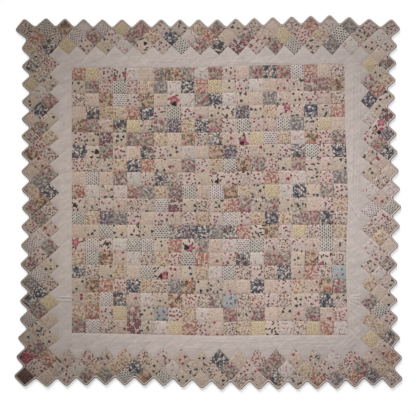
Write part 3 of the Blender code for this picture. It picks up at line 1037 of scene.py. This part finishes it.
def mesh_object(name, points, faces, materials, face_materials, loop_uvs, from_seam, shades, smooth):
    """Object of a finished mesh, at the origin, with its cloth map and its seam and shade attributes."""
    mesh = bpy.data.meshes.new(name)
    mesh.from_pydata(points.tolist(), [], faces)
    for material in materials:
        mesh.materials.append(material)
    mesh.polygons.foreach_set("material_index", face_materials)
    mesh.polygons.foreach_set("use_smooth", smooth)
    mesh.uv_layers.new(name="cloth").data.foreach_set("uv", loop_uvs.ravel())
    mesh.attributes.new("from_seam", "FLOAT", "POINT").data.foreach_set("value", from_seam)
    mesh.attributes.new("shade", "FLOAT", "FACE").data.foreach_set("value", shades)
    mesh.set_sharp_from_angle(angle=WALL_ANGLE)
    mesh.update()
    if mesh.validate():
        raise RuntimeError(name + " has a broken mesh")
    return linked_object(name, mesh)


def grid_quads(numbers):
    """Quads of the numbered points of grids, whose rows and columns are the last two axes."""
    rows = numbers[..., :-1, :], numbers[..., 1:, :]
    corners = [rows[0][..., :-1], rows[1][..., :-1], rows[1][..., 1:], rows[0][..., 1:]]
    return np.stack(corners, -1).reshape(-1, 4)


def turns_right(start, first, second):
    """True where the way round the three plan points turns to the right."""
    (a, b), (c, d) = first - start, second - start
    return a * d - b * c < 0


def closed_cloth(name, plan, heights, faces, uvs, cloths, face_cloths, from_seam, shades):
    """Closed piece of cloth: its top, the same faces turned over as its underside, and its walls.

    plan, heights and from_seam give the top's points, faces its quads as rows of four points, and uvs
    a map place for each of their corners. cloths names the cloths, and face_cloths says by number which
    of them a face has. A wall joins each edge that belongs to one face alone.
    """
    count = len(plan)
    under = HEM_LIFT * np.exp(-from_seam / HEM_LIFT_REACH)
    points = np.concatenate([np.column_stack([plan, heights]), np.column_stack([plan, under])])
    starts, ends = faces.ravel(), np.roll(faces, -1, axis=1).ravel()
    outer = ~np.isin(starts * count + ends, ends * count + starts)
    first, second = starts[outer], ends[outer]
    walls = np.column_stack([first + count, second + count, second, first])
    below = faces[:, ::-1] + count
    hidden = np.concatenate([below, walls])
    return mesh_object(
        name,
        points,
        np.concatenate([faces, hidden]).tolist(),
        [cotton(cloth) for cloth in (*cloths, "backing")],
        np.concatenate([face_cloths, np.full(len(hidden), len(cloths))]),
        np.concatenate([uvs, plan[hidden % count].reshape(-1, 2)]),
        np.tile(from_seam, 2),
        np.concatenate([shades, np.full(len(hidden), MIDDLE_SHADE)]),
        np.repeat([True, False], [2 * len(faces), len(walls)]),
    )


class Cell:
    """One patch, square or triangle: its corners, print, puff, and where it lies along its side."""

    def __init__(self, corners, cloth, puff, station, turn=0.0):
        corners = np.asarray(corners, float)
        x, y = corners[:, 0], corners[:, 1]
        self.area = (x * np.roll(y, -1) - y * np.roll(x, -1)).sum() / 2
        if self.area < 0:
            corners = corners[::-1]
            self.area = -self.area
        self.corners = corners
        self.cloth = cloth
        self.puff = puff
        self.station = station
        self.turn = turn


def cell_parts(cells):
    """Cuts each cell into one four-sided part at each corner: from the corner to the middle of the next
    edge, the middle of the cell and the middle of the edge before. Returns them with their cells."""
    parts, owners = [], []
    for number, cell in enumerate(cells):
        on = (cell.corners + np.roll(cell.corners, -1, axis=0)) / 2
        middle = np.broadcast_to(cell.corners.mean(0), cell.corners.shape)
        parts.append(np.stack([cell.corners, on, middle, np.roll(on, 1, axis=0)], 1))
        owners.append(np.full(len(cell.corners), number))
    return np.concatenate(parts), np.concatenate(owners)


def cell_edges(cells):
    """A point, the inward direction and the seam's depth of each cell's edges, filled up to the same
    count with edges that lie far outside. The straight edges of the cream triangles join other cream
    cloth, so their seams are shallow."""
    most = max(len(cell.corners) for cell in cells)
    starts = np.full((len(cells), most, 2), FAR_OUTSIDE)
    inward = np.tile(np.array((0.0, 1.0)), (len(cells), most, 1))
    depths = np.ones((len(cells), most))
    for number, cell in enumerate(cells):
        along = np.roll(cell.corners, -1, axis=0) - cell.corners
        along /= np.linalg.norm(along, axis=1, keepdims=True)
        starts[number, :len(along)] = cell.corners
        inward[number, :len(along)] = np.column_stack([-along[:, 1], along[:, 0]])
        straight = np.abs(along).min(axis=1) < STRAIGHT_EDGE
        if cell.cloth == "cream":
            depths[number, :len(along)][straight] = CREAM_JOINT
    return starts, inward, depths


def cell_heights(cells, owner, plan, random):
    """Heights of the cells' points, and their distances from the nearest edge.

    A point stands above the seam by the cell's puff times, for every edge, one minus the seam's depth
    times the exponential of minus its distance from that edge over the swell width. Soft waves are added
    in the same measure, and creases.
    """
    shape = bpy.context.scene.quilt_shape
    starts, inward, depths = (values[owner][:, None, None] for values in cell_edges(cells))
    away = ((plan[..., None, :] - starts) * inward).sum(-1)
    swell = (1 - depths * np.exp(-np.maximum(away, 0.0) / shape.swell_width)).prod(-1)
    cream = np.array([cell.cloth == "cream" for cell in cells])
    spread = random.uniform(1 - shape.puff_spread, 1 + shape.puff_spread, len(cells))
    puffs = np.array([cell.puff for cell in cells]) * np.where(cream, 1.0, spread)
    puckers = shape.pucker_depth * np.where(cream, CREAM_PUCKERS, 1.0)
    puffs, puckers = (values[owner][:, None, None] for values in (puffs, puckers))
    heights = SEAM_HEIGHT + swell * (puffs + puckers * soft_waves(plan)) + crease_heights(plan)
    return heights, away.min(-1).clip(0.0)


def cell_map(cells, owner, plan, random):
    """Map places of the cells' points: each cell's cloth is turned about its middle by the cell's own
    turn and a random number of quarters, and moved by a random step."""
    turns = np.array([cell.turn for cell in cells]) + random.integers(0, 4, len(cells)) * math.pi / 2
    shifts = random.uniform(0, CLOTH_SHIFT, (len(cells), 2))
    middles = np.array([cell.corners.mean(0) for cell in cells])
    cosine, sine, shifts, middles = (
        values[owner][:, None, None] for values in (np.cos(turns), np.sin(turns), shifts, middles)
    )
    x, y = np.moveaxis(plan - middles, -1, 0)
    return np.stack([x * cosine - y * sine, x * sine + y * cosine], -1) + shifts


def quilted_cells(name, cells, random):
    """Closed piece of quilted cells. Each part of a cell is a grid of bilinear shares of its four
    corners, and points of neighbouring parts that lie together become one."""
    parts, owner = cell_parts(cells)
    u, v = (grid[None, :, :, None] for grid in np.meshgrid(CELL_SAMPLES, CELL_SAMPLES, indexing="ij"))
    corner, on, middle, back = (parts[:, k, None, None, :] for k in range(4))
    plan = (1 - u) * (1 - v) * corner + u * (1 - v) * on + u * v * middle + (1 - u) * v * back
    heights, from_edge = cell_heights(cells, owner, plan, random)
    uvs = cell_map(cells, owner, plan, random)

    flat = plan.reshape(-1, 2)
    cloths = sorted({cell.cloth for cell in cells})
    cloth_numbers = np.array([cloths.index(cell.cloth) for cell in cells])
    places = np.round((flat + WELD_OFFSET) / WELD).astype(np.int64)
    _, first, welded = np.unique(places, axis=0, return_index=True, return_inverse=True)
    quads = grid_quads(np.arange(len(flat)).reshape(heights.shape))
    face_owner = np.repeat(owner, len(quads) // len(owner))
    return closed_cloth(
        name,
        flat[first],
        heights.reshape(-1)[first],
        welded.reshape(-1)[quads],
        uvs.reshape(-1, 2)[quads].reshape(-1, 2),
        cloths,
        cloth_numbers[face_owner],
        from_edge.reshape(-1)[first],
        random.uniform(0, 1, len(cells))[face_owner],
    )


def declare(piece, node):
    """Attaches a piece to the body it rides on and hides the imported panel that it stands for."""
    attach(piece, BODY)
    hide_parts(node)


def declare_cells(piece, node):
    """Attaches a piece of cells to its body and hides its panel, as declare() does."""
    declare(piece, node)


def centre_prints(random):
    """The print of each place in the centre, by row and column.

    The strong prints go where the table says. A pale one is drawn for every other place, in the shares
    of the table, and is none of the prints beside it.
    """
    prints = np.full((PATCHES, PATCHES), "", dtype=object)
    for cloth, places in CENTRE_PLACES.items():
        for place in places.split():
            row, column = int(place[1:]) - 1, ord(place[0]) - ord("a")
            if prints[row, column]:
                raise RuntimeError("two prints at " + place)
            prints[row, column] = cloth
    for row, column in zip(*np.nonzero(prints == "")):
        beside = [prints[row - 1, column] if row else "", prints[row, column - 1] if column else ""]
        prints[row, column] = draw_pale(random, beside)
    return prints


def draw_pale(random, beside):
    """Draws a pale print that is none of those beside it."""
    shares = np.array([0 if name in beside else PALE_SHARES[name] for name in PALE_PRINTS], float)
    return PALE_PRINTS[random.choice(len(PALE_PRINTS), p=shares / shares.sum())]


def centre_cells(random):
    """The 400 square patches of the centre, by row and column."""
    shape = bpy.context.scene.quilt_shape
    count = np.arange(PATCHES + 1)
    rows, columns = np.meshgrid(count, count, indexing="ij")
    inner = (rows > 0) & (rows < PATCHES) & (columns > 0) & (columns < PATCHES)
    corners = uneven_corners(field_points(columns, rows), inner, shape.patch_unevenness)
    prints = centre_prints(random)
    return [
        [
            Cell(
                [corners[r, c], corners[r + 1, c], corners[r + 1, c + 1], corners[r, c + 1]],
                prints[r, c],
                shape.patch_puff,
                0,
            )
            for c in range(PATCHES)
        ]
        for r in range(PATCHES)
    ]


class QUILT_OT_centre_blocks(bpy.types.Operator):
    """Makes the nine blocks of straight patches in the middle of the quilt"""

    bl_idname = "quilt.centre_blocks"
    bl_label = "Centre blocks"

    def execute(self, context):
        random = np.random.default_rng(CENTRE_SEED)
        rows = centre_cells(random)
        for row_name, top, bottom in zip(BLOCK_ROWS, BLOCK_ENDS, BLOCK_ENDS[1:]):
            for column_name, left, right in zip(BLOCK_COLUMNS, BLOCK_ENDS, BLOCK_ENDS[1:]):
                cells = [cell for row in rows[top:bottom] for cell in row[left:right]]
                piece = quilted_cells(f"centre_block_{row_name}_{column_name}", cells, random)
                declare_cells(piece, "patchwork_centre")
        return {"FINISHED"}


def is_tip(node):
    """True for the point of a tooth."""
    return min(node) < 0 or max(node) > LAST


def is_notch(node):
    """True for the inner corner between two teeth."""
    return not is_tip(node) and sum(node) % 2 == 1 and (min(node) == 0 or max(node) == LAST)


def border_corner(node):
    """A lattice corner in metres; those inside the border sit off by the patches' unevenness."""
    depth = min(*node, LAST - node[0], LAST - node[1])
    shape = bpy.context.scene.quilt_shape
    return uneven_corners(lattice_points(*node), np.array(0 < depth < RING_DEPTH), shape.patch_unevenness)


def towards(start, goal):
    """Direction from one lattice corner to another."""
    along = border_corner(goal) - border_corner(start)
    return along / np.linalg.norm(along)


def trimmed(nodes):
    """A square's corners in metres, cut back from the toothed edge by the binding's width."""
    corners = []
    for k, here in enumerate(nodes):
        before, after = nodes[k - 1], nodes[(k + 1) % len(nodes)]
        point = border_corner(here)
        back = towards(here, before) * BINDING_WIDTH
        on = towards(here, after) * BINDING_WIDTH
        if is_tip(here):
            corners.append(point + back + on)
        elif is_notch(here) and is_tip(before):
            corners.append(point + on)
        elif is_notch(here) and is_tip(after):
            corners.append(point + back)
        elif is_notch(here):
            corners += [point + back, point + on]
        else:
            corners.append(point)
    return corners


def border_flip(side):
    """How a place counted along and into a side reads as lattice counts."""
    return {
        "top": lambda along, depth: (along, depth),
        "bottom": lambda along, depth: (along, LAST - depth),
        "left": lambda along, depth: (depth, along),
        "right": lambda along, depth: (LAST - depth, along),
    }[side]


def border_squares(side, random):
    """The squares on point of one side, with their prints; the top and bottom hold the corners."""
    place = border_flip(side)
    shape = bpy.context.scene.quilt_shape
    cells = []
    before = []
    for depth, run in enumerate(BORDER_RUNS[side]):
        start = depth if side in LEVEL_SIDES else depth + 2
        prints = []
        for step, letter in enumerate(run):
            along = start + 2 * step
            beside = prints[-1:] + before[max(step - 1, 0):step + 2]
            cloth = RUN_NAMES[letter] if letter != "." else draw_pale(random, beside)
            prints.append(cloth)
            i, j = place(along, depth)
            nodes = [(i - 1, j), (i, j + 1), (i + 1, j), (i, j - 1)]
            cells.append(Cell(trimmed(nodes), cloth, shape.patch_puff, along, math.pi / 4))
        before = prints
    return cells


def setting_triangles(side):
    """Cream triangles along the inner side of a border, and the smaller ones at its corners, by their
    lattice counts along and into the side."""
    place = border_flip(side)
    shape = bpy.context.scene.quilt_shape
    runs = [[(k, 3), (k + 2, 3), (k + 1, 2)] for k in range(4, LAST - 4, 2)]
    if side in LEVEL_SIDES:
        runs += [[(2, 3), (3, 3), (3, 2)], [(3, 2), (3, 3), (4, 3)]]
        runs += [[(LAST - 2, 3), (LAST - 3, 2), (LAST - 3, 3)], [(LAST - 4, 3), (LAST - 3, 3), (LAST - 3, 2)]]
    else:
        runs += [[(3, 3), (4, 3), (3, 2)], [(LAST - 3, 3), (LAST - 3, 2), (LAST - 4, 3)]]
    return [
        Cell(
            [border_corner(place(*node)) for node in run],
            "cream",
            shape.cream_puff,
            sum(node[0] for node in run) / 3,
            math.pi / 4,
        )
        for run in runs
    ]


class QUILT_OT_pieced_borders(bpy.types.Operator):
    """Makes the borders of squares on point with their cream triangles, each side in four lengths"""

    bl_idname = "quilt.pieced_borders"
    bl_label = "Pieced borders"

    def execute(self, context):
        random = np.random.default_rng(BORDER_SEED)
        for side in SIDES:
            cells = border_squares(side, random) + setting_triangles(side)
            lengths = np.digitize([cell.station for cell in cells], BORDER_CUTS)
            for number in range(len(BORDER_CUTS) + 1):
                mine = [cell for cell, length in zip(cells, lengths) if length == number]
                piece = quilted_cells(f"pieced_border_{side}_{number + 1}", mine, random)
                declare_cells(piece, "pieced_border_" + side)
        return {"FINISHED"}


def strip_edges(side, stations):
    """Inner and outer edge of a cream strip at stations along it, as points.

    A side strip runs down between the lattice lines three from the top and bottom, and its edges are read
    off the centre's corners and the lattice line at each height. A top or bottom strip runs across
    between the centre's corners.
    """
    count = np.arange(PATCHES + 1)
    top = lattice_points(LAST / 2, STRIP_START)[1]
    bottom = lattice_points(LAST / 2, STRIP_END)[1]
    if side in ("left", "right"):
        inner = field_points(0 if side == "left" else PATCHES, count)
        inner = np.concatenate([[[inner[0, 0], top]], inner, [[inner[-1, 0], bottom]]])
        line = STRIP_START if side == "left" else STRIP_END
        outer = lattice_points(line, [STRIP_START, *range(STRIP_START + 1, STRIP_END, 2), STRIP_END])
        y = top + stations * (bottom - top)
        inner_x = np.interp(-y, -inner[:, 1], inner[:, 0])
        outer_x = np.interp(-y, -outer[:, 1], outer[:, 0])
        return np.column_stack([inner_x, y]), np.column_stack([outer_x, y])
    row, level = (0, top) if side == "top" else (PATCHES, bottom)
    inner = field_points(count, row)
    x = inner[0, 0] + stations * (inner[-1, 0] - inner[0, 0])
    inner_y = np.interp(x, inner[:, 0], inner[:, 1])
    return np.column_stack([x, inner_y]), np.column_stack([x, np.full_like(x, level)])


def from_crosshatch(plan):
    """Distance of plan points from the nearest quilting line; the lines run on from the border's seams,
    where the sum or the difference of the lattice counts is odd."""
    i = (plan[..., 0] - PLAN_SHIFT[0]) / POINT_ACROSS + LAST / 2
    j = LAST / 2 - (plan[..., 1] - PLAN_SHIFT[1]) / POINT_DOWN
    half = POINT_ACROSS / math.sqrt(2)
    falling, rising = (np.abs(np.mod(count, 2) - 1) * half for count in (i + j, i - j))
    return falling, rising


def strip_ripples(side, plan):
    """Fine ripples that run along a strip, where the cloth has shrunk on its quilting: a sine of the
    place across it, whose phase drifts along it, in stretches that come and go."""
    axes = (0, 1) if side in LEVEL_SIDES else (1, 0)
    along, across = (plan[..., axis] for axis in axes)
    phase = across / RIPPLE_PITCH * math.tau
    for reach, turn_along, turn_across in RIPPLE_WANDER:
        phase = phase + reach * np.sin(along * turn_along + across * turn_across)
    first, second = (np.sin(along * turn + start) for turn, start in RIPPLE_STRETCHES)
    return RIPPLE_HEIGHTS[side] * MILLIMETRE * (0.5 + 0.5 * first * second) * np.sin(phase)


def inner_seam_depth(side, inner):
    """Depth of the seam along a strip's inner edge: whole beside the centre, and shallow where a side
    strip runs past it beside the top and bottom strips."""
    if side in LEVEL_SIDES:
        return np.ones(len(inner))
    rows = field_points(0 if side == "left" else PATCHES, np.array((0, PATCHES)))[:, 1]
    beside = np.clip(np.minimum(rows[0] - inner[:, 1], inner[:, 1] - rows[1]) / SEAM_FADE, 0.0, 1.0)
    return CREAM_JOINT + (1 - CREAM_JOINT) * beside


def cream_strip(name, side, start, end):
    """Closed length of cream strip: a grid between its two edges, which stands above the seams by its
    puff times one minus the exponential of minus the distance from each edge and each quilting line."""
    shape = bpy.context.scene.quilt_shape
    length = LEVEL_STRIP_REACH if side in LEVEL_SIDES else SIDE_STRIP_REACH
    stations = np.linspace(start, end, int(length * (end - start) / STRIP_STEP) + 1)
    shares = (1 - np.cos(np.linspace(0, math.pi, STRIP_COLUMNS + 1))) / 2
    inner, outer = strip_edges(side, stations)
    plan = inner[:, None] + (outer - inner)[:, None] * shares[None, :, None]
    width = np.linalg.norm(outer - inner, axis=1)[:, None]
    before, after = length * stations[:, None], length * (1 - stations)[:, None]
    edges = [width * shares, width * (1 - shares), before, after]
    depths = [inner_seam_depth(side, inner)[:, None], CREAM_JOINT, CREAM_JOINT, CREAM_JOINT]
    lines = from_crosshatch(plan)
    swell = np.ones(plan.shape[:2])
    for distance, depth in zip(edges, depths):
        swell = swell * (1 - depth * np.exp(-distance / shape.swell_width))
    for distance in lines:
        swell = swell * (1 - QUILTING_DEPTH * np.exp(-distance / shape.strip_swell))
    waves = CREAM_PUCKERS * shape.pucker_depth * soft_waves(plan)
    calm_ends = np.minimum(1.0, length * np.minimum(stations, 1 - stations) / RIPPLE_START)[:, None]
    ripples = calm_ends * strip_ripples(side, plan)
    heights = SEAM_HEIGHT + swell * (shape.cream_puff + waves + ripples) + crease_heights(plan)
    near = np.minimum.reduce([edges[0] + np.zeros_like(swell), *(line + LINE_SHADE for line in lines)])
    near = np.minimum(near, np.minimum(edges[1], np.minimum(before, after)) + JOINT_SHADE)

    flat = plan.reshape(-1, 2)
    quads = grid_quads(np.arange(len(flat)).reshape(swell.shape))
    if turns_right(*flat[quads[0, :3]]):
        quads = quads[:, ::-1]
    count = len(quads)
    uvs = flat[quads].reshape(-1, 2)
    seams, shades = near.reshape(-1), np.full(count, MIDDLE_SHADE)
    piece = closed_cloth(
        name, flat, heights.reshape(-1), quads, uvs, ["cream"], np.zeros(count, int), seams, shades
    )
    declare(piece, "cream_border_" + side)


class QUILT_OT_cream_strips(bpy.types.Operator):
    """Makes the plain cream strips round the centre, each in four lengths"""

    bl_idname = "quilt.cream_strips"
    bl_label = "Cream strips"

    def execute(self, context):
        for side in SIDES:
            ends = np.arange(STRIP_LENGTHS + 1) / STRIP_LENGTHS
            for number, (start, end) in enumerate(zip(ends, ends[1:]), 1):
                cream_strip(f"cream_strip_{side}_{number}", side, start, end)
        return {"FINISHED"}


def inner_corner(tip):
    """Lattice corner across the square from the point of its tooth."""
    return tuple(1 if count < 0 else LAST - 1 if count > LAST else count for count in tip)


def quarter_turn(middle, radius, start, end, sections):
    """Arc of a quarter turn round a middle, from one direction to another square to it."""
    angles = np.linspace(0, math.pi / 2, sections)[:, None]
    return middle + radius * (np.cos(angles) * start + np.sin(angles) * end)


def binding_rims(side):
    """Inner and outer edge of the binding along one side, as two rows of points.

    The outer edge turns each tip and notch on an arc. The inner edge is as wide as the binding inside the
    outer one, and at a notch it follows the corners of the three squares that meet there.
    """
    place = border_flip(side)
    run = [place(k, -1 if k % 2 == 0 else 0) for k in range(LAST + 1)]
    run = [place(-1, 0), *run, place(LAST + 1, 0)]
    width = BINDING_WIDTH + BINDING_OVERLAP
    inner, outer = [], []
    ends = []
    for first, second, third in (run[:3], run[:-4:-1]):
        middle = (border_corner(first) + border_corner(second)) / 2
        ends.append((middle[None], (middle + towards(second, third) * width)[None]))
    for before, here, after in zip(run, run[1:], run[2:]):
        point, back, on = border_corner(here), towards(here, before), towards(here, after)
        if is_tip(here):
            middle = point + (back + on) * TIP_ROUNDING
            outer.append(quarter_turn(middle, TIP_ROUNDING, -on, -back, TIP_SECTIONS))
            inner.append(quarter_turn(middle, TIP_ROUNDING - width, -on, -back, TIP_SECTIONS))
        else:
            middle = point + (back + on) * NOTCH_ROUNDING
            outer.append(quarter_turn(middle, NOTCH_ROUNDING, -on, -back, NOTCH_SECTIONS))
            first = point + towards(here, inner_corner(before)) * width
            last = point + towards(here, inner_corner(after)) * width
            knots = np.stack([first + back * NOTCH_ROUNDING, first, last, last + on * NOTCH_ROUNDING])
            shares = np.linspace(0, 1, NOTCH_SECTIONS)
            inner.append(np.column_stack([np.interp(shares, NOTCH_KNOTS, knot) for knot in knots.T]))
    start, end = ends
    return fill_between([start[1], *inner, end[1]]), fill_between([start[0], *outer, end[0]])


def fill_between(stretches):
    """Joins stretches of points, with even steps along the straight between each and the next."""
    shares = np.linspace(0, 1, EDGE_SECTIONS + 1)[1:-1, None]
    joined = [stretches[0]]
    for before, after in zip(stretches, stretches[1:]):
        joined += [before[-1] + shares * (after[0] - before[-1]), after]
    return np.concatenate(joined)


def binding_length(name, side, inner, outer, along):
    """Closed length of binding: its section carried along its two edges, with shallow puckers.

    A section's point lies at its share of the way from the inner to the outer edge, and its height is
    the section's, times one plus a few hundredths of two sine waves of the length run so far.
    """
    shares, heights = np.array(BINDING_SECTION).T
    plan = inner[:, None] + (outer - inner)[:, None] * shares[None, :, None]
    puckers = 1 + sum(share * np.sin(along * turn + start) for share, turn, start in BINDING_PUCKERS)
    points = np.concatenate([plan, (heights * puckers[:, None])[..., None]], -1).reshape(-1, 3)
    numbers = np.arange(len(points)).reshape(plan.shape[:2])
    quads = grid_quads(np.column_stack([numbers, numbers[:, 0]]))
    ends = [numbers[0].tolist(), numbers[-1, ::-1].tolist()]
    if turns_right(inner[0], outer[0], inner[1]):
        quads = quads[:, ::-1]
        ends = [end[::-1] for end in ends]
    faces = quads.tolist() + ends
    corners = np.concatenate([quads.ravel(), *ends])
    places = np.broadcast_arrays(along[:, None], shares[None] * BINDING_WIDTH)
    uvs = np.stack(places, -1).reshape(-1, 2)
    piece = mesh_object(
        name,
        points,
        faces,
        [binding_material()],
        np.zeros(len(faces), int),
        uvs[corners],
        uvs[:, 1],
        np.full(len(faces), MIDDLE_SHADE),
        np.repeat([True, False], [len(quads), 2]),
    )
    declare(piece, "binding_" + side)


class QUILT_OT_binding(bpy.types.Operator):
    """Makes the rounded binding along the toothed edge, each side in five lengths"""

    bl_idname = "quilt.binding"
    bl_label = "Binding"

    def execute(self, context):
        for side in SIDES:
            inner, outer = binding_rims(side)
            middle = (inner + outer) / 2
            along = np.concatenate([[0], np.cumsum(np.linalg.norm(np.diff(middle, axis=0), axis=1))])
            cuts = np.linspace(0, len(inner) - 1, BINDING_LENGTHS + 1).astype(int)
            for number, (start, end) in enumerate(zip(cuts, cuts[1:]), 1):
                mine = slice(start, end + 1)
                binding_length(f"binding_{side}_{number}", side, inner[mine], outer[mine], along[mine])
        return {"FINISHED"}


def floor_material(colour):
    """Plain pale floor, with the faintest cloudiness."""
    made = bpy.data.materials.new("pale_floor")
    made.use_nodes = True
    nodes = Nodes(made.node_tree)
    shader = made.node_tree.nodes["Principled BSDF"]
    noise = nodes.add("ShaderNodeTexNoise", {"Scale": 3.0, "Detail": 2.0}).outputs[0]
    tone = nodes.tint((*colour, 1.0), nodes.span(noise, *FLOOR_TONES))
    nodes.tree.links.new(tone, shader.inputs["Base Color"])
    shader.inputs["Roughness"].default_value = 0.9
    shader.inputs["Specular IOR Level"].default_value = 0.1
    return made


def add_floor(stage):
    """Wide square floor just under the quilt."""
    turns = ((-1, -1), (1, -1), (1, 1), (-1, 1))
    corners = [(x * FLOOR_HALF, y * FLOOR_HALF, FLOOR_LEVEL) for x, y in turns]
    mesh = bpy.data.meshes.new("floor")
    mesh.from_pydata(corners, [], [(0, 1, 2, 3)])
    mesh.materials.append(floor_material(stage.floor))
    linked_object("floor", mesh)


def add_light(stage):
    """Even sky and one soft lamp that shines from beyond the quilt's top edge."""
    world = bpy.data.worlds.new("studio_sky")
    world.use_nodes = True
    sky = world.node_tree.nodes["Background"]
    sky.inputs["Color"].default_value = (1.0, 1.0, 1.0, 1.0)
    sky.inputs["Strength"].default_value = stage.sky_strength
    bpy.context.scene.world = world
    lamp = bpy.data.lights.new("soft_lamp", "SUN")
    lamp.energy = stage.lamp_strength
    lamp.angle = stage.lamp_spread
    holder = linked_object("soft_lamp", lamp)
    holder.rotation_euler = (-(math.pi / 2 - stage.lamp_elevation), 0.0, stage.lamp_turn)


def add_camera(stage):
    """Camera straight above the quilt, far enough away for a flat view."""
    camera = bpy.data.cameras.new("camera")
    camera.sensor_width = FILM_WIDTH
    camera.lens = FILM_WIDTH * stage.camera_height / stage.view_width
    camera.clip_end = FARTHEST_SEEN
    holder = linked_object("camera", camera)
    holder.location = (*CAMERA_OVER, stage.camera_height)
    bpy.context.scene.camera = holder


class QUILT_OT_stage(bpy.types.Operator):
    """Makes the floor, the light and the camera"""

    bl_idname = "quilt.stage"
    bl_label = "Stage"

    def execute(self, context):
        stage = context.scene.quilt_stage
        add_floor(stage)
        add_light(stage)
        add_camera(stage)
        context.scene.view_settings.view_transform = "Standard"
        return {"FINISHED"}


OPERATORS = (
    QUILT_OT_centre_blocks,
    QUILT_OT_cream_strips,
    QUILT_OT_pieced_borders,
    QUILT_OT_binding,
    QUILT_OT_stage,
)


class QUILT_PT_panel(bpy.types.Panel):
    """Lists the quilt's pieces and what a user may change"""

    bl_idname = "QUILT_PT_panel"
    bl_label = "Patchwork quilt"
    bl_space_type = "VIEW_3D"
    bl_region_type = "UI"
    bl_category = "Quilt"

    def draw(self, context):
        for operator in OPERATORS:
            self.layout.operator(operator.bl_idname)
        for name in SETTINGS:
            settings = getattr(context.scene, name)
            for key in settings.bl_rna.properties.keys():
                if key not in ("rna_type", "name"):
                    self.layout.prop(settings, key)


SETTINGS = {"quilt_shape": QuiltShape, "quilt_cloth": QuiltCloth, "quilt_stage": QuiltStage}
CLASSES = (*SETTINGS.values(), *OPERATORS, QUILT_PT_panel)


def register():
    """Registers the classes and gives the scene their settings."""
    for made in CLASSES:
        bpy.utils.register_class(made)
    for name, group in SETTINGS.items():
        setattr(bpy.types.Scene, name, bpy.props.PointerProperty(type=group))


def unregister():
    """Takes back what register() did."""
    for name in SETTINGS:
        delattr(bpy.types.Scene, name)
    for made in reversed(CLASSES):
        bpy.utils.unregister_class(made)


def main():
    """Makes the whole quilt and its stage."""
    register()
    bpy.ops.quilt.centre_blocks()
    bpy.ops.quilt.cream_strips()
    bpy.ops.quilt.pieced_borders()
    bpy.ops.quilt.binding()
    bpy.ops.quilt.stage()


if __name__ == "__main__":
    main()
